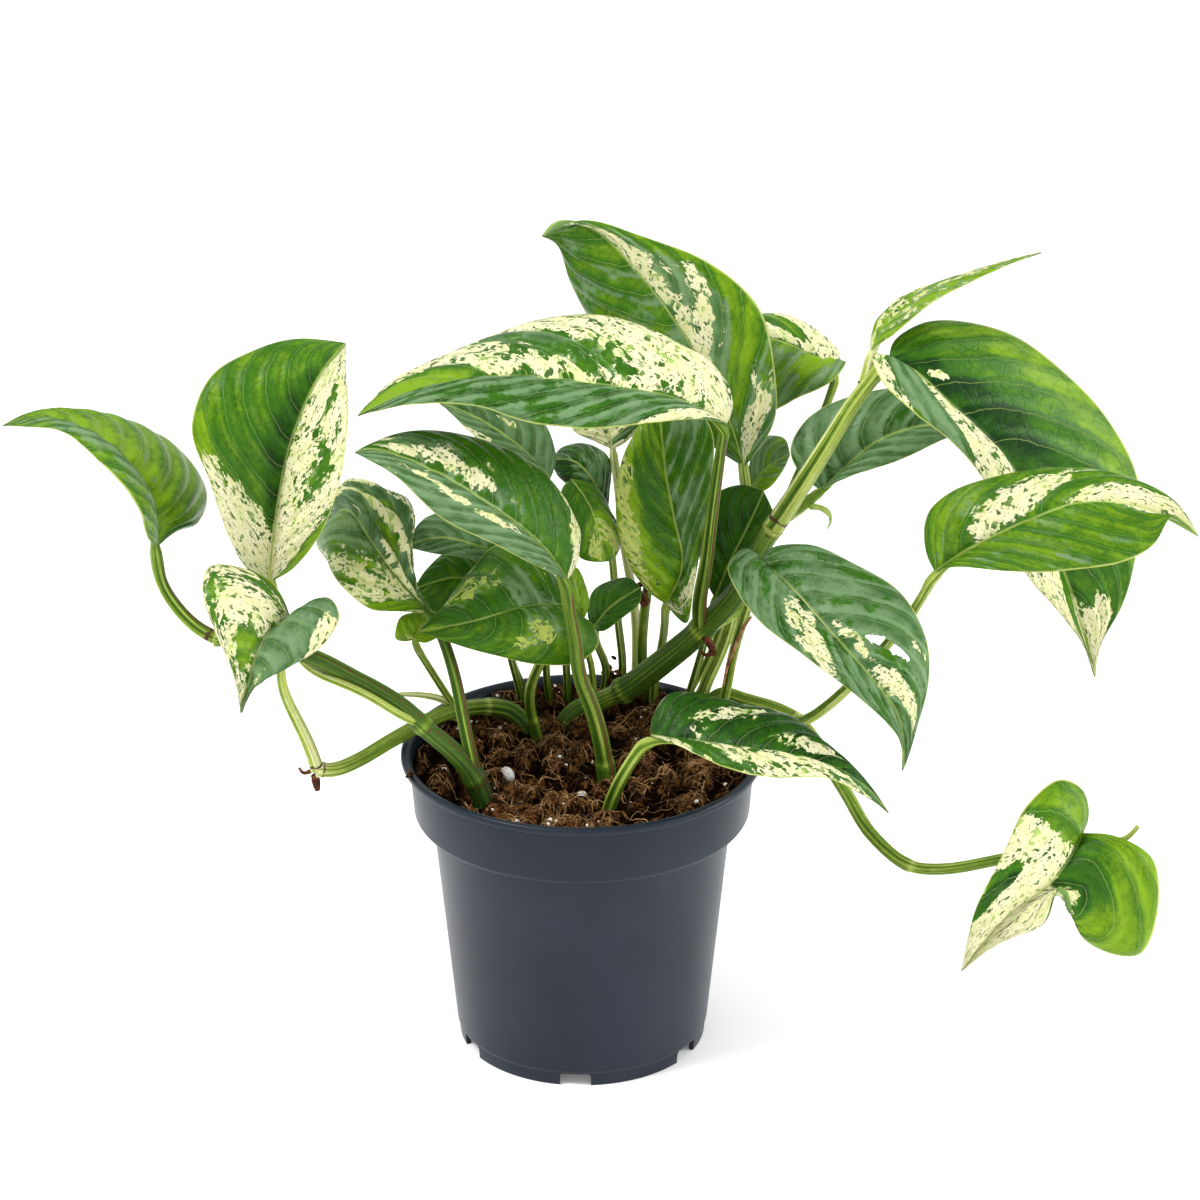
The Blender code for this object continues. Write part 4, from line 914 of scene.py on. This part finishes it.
def sweep(route, radii, sides, facing=(1.0, 0.2, 0.1), shape=None):
    """Points, faces and turns of a tube along the route, in millimetres. Turn 0 faces that way."""
    ahead = unit(np.gradient(route, axis=0))
    normal = np.array(facing, float)
    normals = []
    for direction in ahead:
        normal = unit(normal - direction * (normal @ direction))
        normals.append(normal)
    binormals = np.cross(ahead, normals)
    turn = np.linspace(-pi, pi, sides, endpoint=False)
    scale = np.ones((len(route), sides)) if shape is None else shape(turn)
    out = np.cos(turn)[:, None] * np.array(normals)[:, None] + np.sin(turn)[:, None] * binormals[:, None]
    rings = route[:, None] + (radii[:, None] * scale)[:, :, None] * out
    ends = route[:1] - ahead[:1] * radii[0] * 0.4, route[-1:] + ahead[-1:] * radii[-1] * 0.4
    points = np.vstack((rings.reshape(-1, 3), *ends))
    first, last = len(points) - 2, len(points) - 1
    faces = []
    for i in range(sides):
        j = (i + 1) % sides
        for ring in range(0, (len(route) - 1) * sides, sides):
            faces.append((ring + i, ring + j, ring + sides + j, ring + sides + i))
        faces.append((first, j, i))
        faces.append((last, first - sides + i, first - sides + j))
    return points, faces, turn


def skin_map(mesh, along, sides, radius):
    """Skin coordinates in centimetres: along the stem, and round it."""
    index = np.empty(len(mesh.loops), np.int64)
    mesh.loops.foreach_get("vertex_index", index)
    ring = np.minimum(index // sides, len(along) - 1)
    round_it = index % sides
    totals = np.empty(len(mesh.polygons), np.int64)
    mesh.polygons.foreach_get("loop_total", totals)
    owner = np.repeat(np.arange(len(totals)), totals)
    seam = np.zeros(len(totals), bool)
    seam[owner[round_it == sides - 1]] = True
    wrapped = np.where(seam[owner] & (round_it == 0), sides, round_it)
    skin = np.stack((along[ring], wrapped / sides * 2 * pi * radius), axis=1) / 10
    loop_map(mesh, "skin", skin + DICE.uniform(0, 40, 2))


def relax(route, rounds):
    for _ in range(rounds):
        route[1:-1] = (route[:-2] + 2 * route[1:-1] + route[2:]) / 4


def under_blade(name, route, radii):
    """A stalk's route and radii, carried on under the midrib of its blade until it has thinned away."""
    along = lengths_along(route)
    radii = 0.93 * radii * (1 + 0.14 * bell(along[-1] - along, 6, 4))
    at, spine, _, upwards = blade_frame(LEAVES[name], 60)
    keep = at < UNDER_BLADE
    thin = np.interp(at[keep], (0, 0.08, UNDER_BLADE), (radii[-1], radii[-1] * 0.6, 0.35))
    under = spine[keep] - upwards[keep] * (thin[:, None] * 0.75 + 0.1)
    route = np.vstack((route[:-3], under[2:]))
    relax(route, 4)
    return route, np.concatenate((radii[:-3], thin[2:]))


def jointed(name, route, along, radii, brown):
    """The stem's radii and its brown and pale rings, with its heel, its joint and those of its stalks."""
    collar = np.zeros(len(along))
    if name in HEELS:
        joint, share_left, lighter = HEELS[name]
        below = np.clip((joint - along) / 3 + 0.5, 0, 1)
        radii = radii * (1 - (1 - share_left) * below)
        collar = collar + lighter * below
    if name in RINGS:
        past = along - RINGS[name]
        radii = radii * (1 + 0.16 * bell(past, 0, 2.0) + 0.12 * np.clip(-past / 3, 0, 1))
        brown = brown + 0.65 * bell(past, 0, 0.7)
        collar = collar + 0.45 * bell(past, 1.8, 1.2)
    for carrier, _, points in STEMS.values():
        if name in VINES and carrier == name:
            past = along - along[np.linalg.norm(route - np.array(points[0], float), axis=1).argmin()]
            radii = radii * (1 + 0.16 * bell(past, 0, 2.4))
            brown = brown + 0.65 * bell(past, -2.2, 0.8)
            collar = collar + 0.45 * bell(past, -0.2, 1.3)
    return radii, brown, collar


def stem_looks(mesh, name, along, length, turn, channel, brown, collar):
    """The point attributes that a stem's finish reads."""
    tint, rusty = STEM_TINTS.get(name, MOST_TINTS)
    # painted light: a painted highlight on the channel's raised edges, painted shade in the channel, and a
    # painted highlight in the pale stripe down one side of every stem
    channel_painted_light = 0.55 * bell(np.abs(turn), CHANNEL_EDGE, 0.17) - 0.40 * bell(turn, 0.0, 0.42)
    pale = tint + channel[:, None] * channel_painted_light + 0.30 * bell(turn, -1.6, 0.5)
    if STEMS[name][0] == "soil":
        pale = pale - 0.55 * bell(along, 8, 14)[:, None]
    if name in VINES:
        pale = pale + 0.4 * bell(along, length, 9)[:, None]
    pale = pale + collar[:, None]
    rust = rusty * bell(turn, *(VINE_RUST if name in VINES else STALK_RUST)) - 0.2
    rust = rust * np.clip((length - along) / 8, 0, 1)[:, None]
    brown = np.repeat(brown[:, None], len(turn), axis=1)
    for kind, value in (("pale", pale), ("rust", rust), ("brown", brown)):
        point_attribute(mesh, kind, np.append(value, (value[0, 0], value[-1, 0])))


def stem(name, table):
    """One vine or stalk with a ribbed skin. A stalk has a channel, and runs on under its blade."""
    carrier, given_radii, points = table
    if name in LEAVES:
        points = (*points, LEAVES[name][0][0])
    is_vine = name in VINES
    ribs, rise, sides, rounds = VINE_SKIN if is_vine else STALK_SKIN
    length = lengths_along(points)[-1]
    share = np.linspace(0.0, 1.0, int(max(24, length / STEM_STEP)))
    route = smooth_curve(points, share)
    relax(route, rounds)
    radii = np.interp(share, np.linspace(0.0, 1.0, len(given_radii)), given_radii)
    if name in LEAVES:
        route, radii = under_blade(name, route, radii)
    along = lengths_along(route)
    brown = 0.35 * bell(along, 0, 5) if carrier == "soil" else 0.8 * bell(along, radii[0], 1.0)
    radii, brown, collar = jointed(name, route, along, radii, brown)
    channel = np.clip(1 - np.abs(along / length - 0.35) / 0.55, 0, 1) ** 0.5 * (not is_vine)
    if name in RINGS:
        channel = channel * np.clip((along - RINGS[name]) / 3, 0, 1)
    phases = DICE.uniform(0, 2 * pi, 2)

    def shape(turn):
        waves = np.cos(ribs * turn + phases[0]) + 0.6 * np.cos((2 * ribs + 1) * turn + phases[1])
        hollow = -CHANNEL_DEPTH * bell(turn, 0, 0.34) + CHANNEL_RIM * bell(np.abs(turn), CHANNEL_EDGE, 0.20)
        return 1 + rise * waves + channel[:, None] * hollow

    points, faces, turn = sweep(route, radii, sides, CHANNEL_FACING, shape)
    label = name if is_vine or name in ("cut_stalk", "shoot") else f"stalk_{name}"
    mesh = mesh_of(label, points, faces)
    skin_map(mesh, along, sides, float(radii.mean()))
    stem_looks(mesh, name, along, length, turn, channel, brown, collar)
    node = f"leaf_{name}" if name in FUSED_LEAVES else label
    piece(f"{label}_skin", mesh, "vine" if is_vine else "stalk", (STEM,), node)


# Pot, in millimetres


# The half section: from the axis along the underside, up the outside, over the lip and down inside.
POT_PROFILE = (
    (0, 5.5), (43.4, 5.5), (43.2, 0), (45, 0), (45.4, 5.2), (45.9, 6.0), (54.0, 88.0), (58.4, 88.8),
    (59.8, 89.4), (60.5, 90.6), (61.9, 108.6), (61.7, 109.2), (62.0, 109.7), (64.2, 110.0), (65.0, 110.6),
    (65.0, 112.3), (64.2, 113.0), (62.9, 113.0), (61.4, 111.6), (60.9, 110.0), (59.4, 91.6), (52.9, 89.0),
    (44.8, 7.0), (0, 7.0),
)
POT_SIDES = 168
POT_EDGE = 0.5  # how far its edges are rounded
NOTCHES = 6
FIRST_NOTCH = -93  # in degrees round the pot
NOTCH_SIZE = (12, 11.2, 9.8)  # of the whole cutter, half of which is below the pot
NOTCH_BEVEL = 0.6
FOOT_RADIUS = 45
DRAIN_RADIUS = 4
DRAIN_RING = 33
FLOOR_MIDDLE = 6.25


def lathe(name, profile, sides):
    """A closed solid of revolution: the profile runs from the axis, outside and back to the axis."""
    turn = np.linspace(0, 2 * pi, sides, endpoint=False)
    points, faces, rows = [], [], []
    for radius, height in profile:
        count = sides if radius else 1
        rows.append(range(len(points), len(points) + count))
        points.extend(ring_of(radius, turn[:count], height))
    for low, high in zip(rows, rows[1:]):
        for i in range(sides):
            j = (i + 1) % sides
            if len(low) == 1:
                faces.append((low[0], high[j], high[i]))
            elif len(high) == 1:
                faces.append((low[i], low[j], high[0]))
            else:
                faces.append((low[i], low[j], high[j], high[i]))
    return mesh_of(name, points, faces)


def rounded(profile, radius):
    """The profile with each corner replaced by three points of a small curve."""
    made = [profile[0]]
    for corners in zip(profile, profile[1:], profile[2:]):
        before, corner, after = np.array(corners, float)
        back, forth = before - corner, after - corner
        cut = min(radius, 0.45 * np.linalg.norm(back), 0.45 * np.linalg.norm(forth))
        start, end = corner + unit(back) * cut, corner + unit(forth) * cut
        made += [tuple(start), tuple((start + end) / 4 + corner / 2), tuple(end)]
    return [*made, profile[-1]]


def cutter(shape, name, distance, angle, height):
    """The shape as an object that cuts the pot, turned by the angle and moved out along it."""
    mesh = bpy.data.meshes.new(name)
    shape.to_mesh(mesh)
    shape.free()
    made = placed(name, mesh, (distance * MM * cos(angle), distance * MM * sin(angle), height * MM))
    made.rotation_euler.z = angle
    return made


def notch_angle(number):
    return radians(FIRST_NOTCH + 360 / NOTCHES * number)


def notch(number):
    """A box that cuts one notch into the foot, with its upper corners rounded."""
    shape = bmesh.new()
    bmesh.ops.create_cube(shape, size=1.0)
    bmesh.ops.scale(shape, vec=[size * MM for size in NOTCH_SIZE], verts=shape.verts)
    edges = []
    for edge in shape.edges:
        first, second = (corner.co for corner in edge.verts)
        if abs(first.x - second.x) > 1e-6 and first.z > 0:
            edges.append(edge)
    bmesh.ops.bevel(shape, geom=edges, offset=NOTCH_BEVEL * MM, segments=3, affect="EDGES")
    return cutter(shape, f"notch_{number}", FOOT_RADIUS, notch_angle(number), 0.0)


def drain(number):
    """A cylinder that cuts one hole into the floor, half way between two notches."""
    radius = DRAIN_RADIUS * MM
    shape = bmesh.new()
    bmesh.ops.create_cone(shape, cap_ends=True, segments=32, radius1=radius, radius2=radius, depth=6 * MM)
    return cutter(shape, f"drain_{number}", DRAIN_RING, notch_angle(number) + pi / NOTCHES, FLOOR_MIDDLE)


def pot():
    """The pot, turned from its half section, less its notches and drain holes."""
    wall = lathe("pot_wall", rounded(POT_PROFILE, POT_EDGE), POT_SIDES)
    made = piece("pot_wall", wall, "pot", (POT,), "pot")
    cutters = [kind(number) for number in range(NOTCHES) for kind in (notch, drain)]
    for other in cutters:
        boolean = made.modifiers.new(other.name, "BOOLEAN")
        boolean.operation = "DIFFERENCE"
        boolean.solver = "EXACT"
        boolean.object = other
    graph = bpy.context.evaluated_depsgraph_get()
    solid = bpy.data.meshes.new_from_object(made.evaluated_get(graph))
    made.modifiers.clear()
    made.data = solid
    for other in cutters:
        bpy.data.objects.remove(other, do_unlink=True)
    solid.shade_smooth()
    solid.set_sharp_from_angle(angle=radians(50))


# Soil, in millimetres


LATTICE = DICE.uniform(-1, 1, (64, 64))
SOIL_LEVEL = 105.0  # in its middle
SOIL_REACH = 60.2  # where its surface meets the wall
SOIL_BOTTOM = (58.6, 92.0)  # the radius and the height of its lower edge
WALL_RISE = 2.4  # how much higher it lies at the wall
BACK_RISE = 3.0  # and how much higher still at the back
CLUMP = 10.0  # from one clump to the next


def rolling(x, y, cell):
    """Smooth random hills from -1 to 1, a cell apart."""
    x, y = np.asarray(x) / cell + 40.0, np.asarray(y) / cell + 40.0
    i, j = np.floor(x).astype(int), np.floor(y).astype(int)
    fx, fy = x - i, y - j
    fx, fy = fx * fx * (3 - 2 * fx), fy * fy * (3 - 2 * fy)

    def at(a, b):
        return LATTICE[a % len(LATTICE), b % len(LATTICE)]

    low = at(i, j) * (1 - fx) + at(i + 1, j) * fx
    high = at(i, j + 1) * (1 - fx) + at(i + 1, j + 1) * fx
    return low * (1 - fy) + high * fy


def soil_height(x, y):
    """The soil's surface: clumps that flatten towards the wall. It rises there, and most at the back."""
    r = np.hypot(x, y)
    heap = SOIL_LEVEL + WALL_RISE * np.clip((r - 48) / 9, 0, 1)
    heap = heap + BACK_RISE * np.clip((r - 38) / 20, 0, 1) * np.clip((y - 10) / 40, 0, 1)
    clumps = 7.6 * np.abs(rolling(x, y, CLUMP)) ** 0.6 + 2.0 * np.abs(rolling(x + 31, y - 17, 4.6)) ** 0.7
    lumps = clumps + 0.8 * rolling(x - 9, y + 5, 1.9) - 5.2
    return heap + lumps * np.clip((61.5 - r) / 6, 0.25, 1)


def soil():
    """The body of soil: its rough surface with a plain side and bottom."""
    rings, sides = 64, 190
    turn = np.linspace(0, 2 * pi, sides, endpoint=False)
    radius, angle = np.meshgrid(np.linspace(0, SOIL_REACH, rings + 1)[1:], turn, indexing="ij")
    top = ring_of(radius, angle, 0.0)
    top[..., 2] = soil_height(top[..., 0], top[..., 1]) + DICE.normal(0, 0.16, radius.shape)
    edge = ring_of(SOIL_BOTTOM[0], turn, SOIL_BOTTOM[1])
    points = np.vstack(([[0, 0, SOIL_LEVEL]], top.reshape(-1, 3), edge, [[0, 0, SOIL_BOTTOM[1]]]))
    faces = []
    for i in range(sides):
        j = (i + 1) % sides
        faces.append((0, 1 + i, 1 + j))
        for ring in range(rings):
            a, b = 1 + ring * sides, 1 + (ring + 1) * sides
            faces.append((a + i, b + i, b + j, a + j))
        faces.append((1 + rings * sides + j, 1 + rings * sides + i, len(points) - 1))
    mesh = mesh_of("soil_bed", points, faces)
    # how deep in a hollow between the clumps each point lies, for the painted shade there
    point_attribute(mesh, "hollow", bell(rolling(points[:, 0], points[:, 1], CLUMP), 0, 0.20))
    piece("soil_bed", mesh, "soil", (PEAT,), "soil")


def soil_spots(count, reach):
    """Places on the soil, most of them on its clumps and not in the hollows between."""
    tries = 8 * count
    r = reach * np.sqrt(DICE.uniform(0, 1, tries))
    x, y, _ = ring_of(r, DICE.uniform(0, 2 * pi, tries), 0.0).T
    kept = np.abs(rolling(x, y, CLUMP)) > DICE.uniform(0.12, 0.45, tries)
    x, y = x[kept][:count], y[kept][:count]
    return np.stack((x, y, soil_height(x, y)), 1)


def scattered(name, finish, centres, sizes, level, roughness):
    """Many small irregular lumps as one mesh."""
    ball = bmesh.new()
    bmesh.ops.create_icosphere(ball, subdivisions=level, radius=1.0)
    corners = np.array([v.co[:] for v in ball.verts])
    triangles = np.array([[v.index for v in f.verts] for f in ball.faces])
    ball.free()
    points, faces = [], []
    for number, (centre, size) in enumerate(zip(centres, sizes)):
        axes = np.linalg.qr(DICE.normal(size=(3, 3)))[0]
        squash = size * DICE.uniform(0.6, 1.2, 3)
        lump = corners * (1 + DICE.normal(0, roughness, (len(corners), 1)))
        points.append((lump * squash) @ axes + centre)
        faces.append(triangles + number * len(corners))
    mesh = mesh_of(name, np.vstack(points), np.vstack(faces).tolist())
    piece(name, mesh, "soil", (finish,))


FEWEST_STEPS = 4  # a root fibre shorter than this is left out


def fibres(name, count, steps, pace, thickness, rise, lowest):
    """Curly root fibres as one mesh of thin tubes. They end where the clumps fall below the lowest."""
    points, faces, total = [], [], 0
    for start in soil_spots(count, 58.0):
        heading = DICE.uniform(0, 2 * pi) + np.cumsum(DICE.normal(0, 0.32, steps))
        stride = pace * DICE.uniform(0.5, 1.5)
        x = start[0] + np.cumsum(np.cos(heading)) * stride
        y = start[1] + np.cumsum(np.sin(heading)) * stride
        on_soil = (np.hypot(x, y) < 59.5) & (np.abs(rolling(x, y, CLUMP)) >= lowest)
        reach = steps if on_soil.all() else int(on_soil.argmin())
        if reach < FEWEST_STEPS:
            continue
        x, y = x[:reach], y[:reach]
        arch = np.sin(np.linspace(0, DICE.uniform(1.5, 3.1), reach)) * DICE.uniform(0.0, rise)
        route = np.stack((x, y, soil_height(x, y) + 0.2 + arch), 1)
        taper = np.linspace(1.0, 0.5, reach) * DICE.uniform(*thickness)
        tube, tube_faces, _ = sweep(route, taper, 4)
        points.append(tube)
        faces += [tuple(total + i for i in face) for face in tube_faces]
        total += len(tube)
    piece(name, mesh_of(name, np.vstack(points), faces), "soil", (FIBRE,))


# Each kind of litter: its finish, how many, how far out, how high, sizes, subdivisions and roughness.
LITTER = {
    "soil_clods": (CRUMB, 620, 56.0, 0.0, (0.7, 2.0), 2, 0.19),
    "soil_crumbs": (CRUMB, 2600, 58.8, 0.5, (0.3, 1.1), 1, 0.2),
    "perlite_grains": (PERLITE, 60, 59.0, 1.0, (0.3, 0.85), 2, 0.08),
}
PERLITE_LUMPS = (  # the largest ones: place and size
    (-26.4, -8.5, 2.7), (0.1, -18.3, 2.0), (-51.8, -6.9, 1.1), (-40.7, 29, 0.9), (21, 9.6, 0.8),
    (-46.1, 13.8, 1.3), (51.5, -9.4, 0.9),
)


def soil_litter():
    """Clods, crumbs and perlite on the soil, a heap at the back and two crumbs on the rim."""
    for name, (finish, count, reach, lift, sizes, level, roughness) in LITTER.items():
        spots = soil_spots(count, reach) + (0, 0, lift)
        scattered(name, finish, spots, DICE.uniform(*sizes, count), level, roughness)
    x, y, size = np.array(PERLITE_LUMPS).T
    scattered("perlite_lumps", PERLITE, np.stack((x, y, soil_height(x, y) + size * 0.7), 1), size, 3, 0.035)
    back = DICE.normal((11.5, 53.5, 115.5), (2.2, 1.8, 2.6), (34, 3))
    scattered("back_clods", CRUMB, back, DICE.uniform(0.7, 1.9, 34), 2, 0.15)
    scattered("rim_crumb", CRUMB, ((-61.0, -22.9, 113.3), (-60.2, -21.2, 113.3)), (1.2, 0.8), 2, 0.14)


# Small roots, stubs and sheaths: finish, slot, radii and route in millimetres.
DETAILS = {
    "node_root": (BARK, "vine", (1.7, 1.5, 1.0), (
        (43, 27, 149), (44, 26, 146), (46, 26, 143), (48, 26, 138))),
    "node_root_side": (BARK, "vine", (0.9, 0.9, 0.5), ((48, 26, 139), (45, 26, 138), (43, 25, 140))),
    "end_root": (BARK, "vine", (1.3, 1.5, 0.9), ((-95, -15, 110), (-94.5, -15.5, 107), (-94, -16, 104))),
    "end_root_side": (BARK, "vine", (0.9, 0.8, 0.5), ((-96, -14, 111), (-99, -14, 110), (-100.5, -14, 112))),
    "shoot_root": (BARK, "vine", (0.6, 0.5, 0.3), ((-57, 14, 118.5), (-58.5, 14, 121), (-60.5, 14, 121.5))),
    "rolled_tip": (BARK, "stalk", (1.9, 1.4, 1.2, 1.1, 0.8), (
        (23.4, 38, 153), (20.6, 37.5, 157.0), (20.4, 37.0, 160.4), (22.4, 36.8, 161.6),
        (23.8, 36.8, 159.8), (22.6, 36.8, 158.0))),
    "dry_strip": (PAPER, "stalk", (0.5, 0.7, 0.6, 0.4), (
        (60, 3, 163), (57.5, 5, 158), (55.5, 11, 150), (52.5, 15, 139), (51, 17, 130))),
    "hooked_sheath": (YOUNG, "stalk", (1.3, 1.3, 1.0, 0.3), (
        (81, 21, 198), (85, 21, 197.5), (88, 21.5, 195), (88.6, 22, 192), (87.4, 22, 189))),
    "lime_sheath": (YOUNG, "stalk", (1.0, 2.2, 2.0, 0.6), (
        (48, 25, 149), (53, 25, 153.5), (57, 25, 155), (61, 25, 153))),
}


def detail(name, finish, slot, radii, points):
    """A small root, stub or sheath: a flattened tube of uneven width."""
    share = np.linspace(0.0, 1.0, int(max(10, lengths_along(points)[-1])))
    route = smooth_curve(points, share)
    swell = np.interp(share, np.linspace(0.0, 1.0, len(radii)), radii) * DICE.uniform(0.88, 1.12, len(share))

    def flattened(turn):
        return np.tile(1 - 0.35 * np.sin(turn) ** 2, (len(share), 1))

    tube, faces, _ = sweep(route, swell, 12, shape=flattened)
    piece(name, mesh_of(name, tube, faces), slot, (finish,))


# The studio, in metres


WHITE = (1.0, 1.0, 1.0, 1.0)
FLOOR_COLOUR = (0.94, 0.94, 0.94, 1.0)
FLOOR_GLOW = 0.12  # it hides the horizon
FLOOR_REACH = 6.0
LIGHTS = (("key", (-1.3, -0.7, 2.2), 0.8, 46.0), ("fill", (1.9, -0.3, 0.8), 1.2, 32.0))
LIGHTS_AIM = Vector((0.0, 0.0, 0.15))
CAMERA_AIM = Vector((0.0065, 0.0, 0.171))
CAMERA_TILT = radians(23.5)
CAMERA_AWAY = 1412  # in millimetres


def turn_to(made, target):
    made.rotation_mode = "QUATERNION"
    made.rotation_quaternion = (target - made.location).to_track_quat("-Z", "Y")


def studio():
    mesh = bpy.data.meshes.new("floor")
    corners = [(x * FLOOR_REACH, y * FLOOR_REACH, 0) for x, y in ((-1, -1), (1, -1), (1, 1), (-1, 1))]
    mesh.from_pydata(corners, [], [(0, 1, 2, 3)])
    paint = Finish("studio_floor", roughness=0.9, specular=0.1)
    paint.shader.inputs["Base Color"].default_value = FLOOR_COLOUR
    paint.shader.inputs["Emission Color"].default_value = WHITE
    paint.shader.inputs["Emission Strength"].default_value = FLOOR_GLOW
    mesh.materials.append(paint.material)
    placed("floor", mesh)
    world = bpy.data.worlds.new("studio")
    bpy.context.scene.world = world
    world.use_nodes = True
    world.node_tree.nodes["Background"].inputs["Color"].default_value = WHITE
    world.node_tree.nodes["Background"].inputs["Strength"].default_value = 1.0
    for name, place, size, power in LIGHTS:
        light = bpy.data.lights.new(name, "AREA")
        light.size = size
        light.energy = power
        turn_to(placed(name, light, place), LIGHTS_AIM)


def camera():
    lens = bpy.data.cameras.new("photo_view")
    lens.lens = 120
    lens.sensor_width = 36
    away = Vector((0.0, -cos(CAMERA_TILT), sin(CAMERA_TILT))) * CAMERA_AWAY * MM
    made = placed("photo_view", lens, CAMERA_AIM + away)
    turn_to(made, CAMERA_AIM)
    bpy.context.scene.camera = made


bpy.context.scene.view_settings.view_transform = "Standard"
camera()
studio()
pot()
soil()
for name, outline in LEAVES.items():
    leaf(name, outline)
for name, table in STEMS.items():
    stem(name, table)
soil_litter()
for name, row in DETAILS.items():
    detail(name, *row)
fibres("fine_roots", 1700, 10, 0.75, (0.06, 0.15), 3.0, 0.16)
fibres("long_roots", 170, 15, 1.2, (0.12, 0.26), 3.6, 0.0)
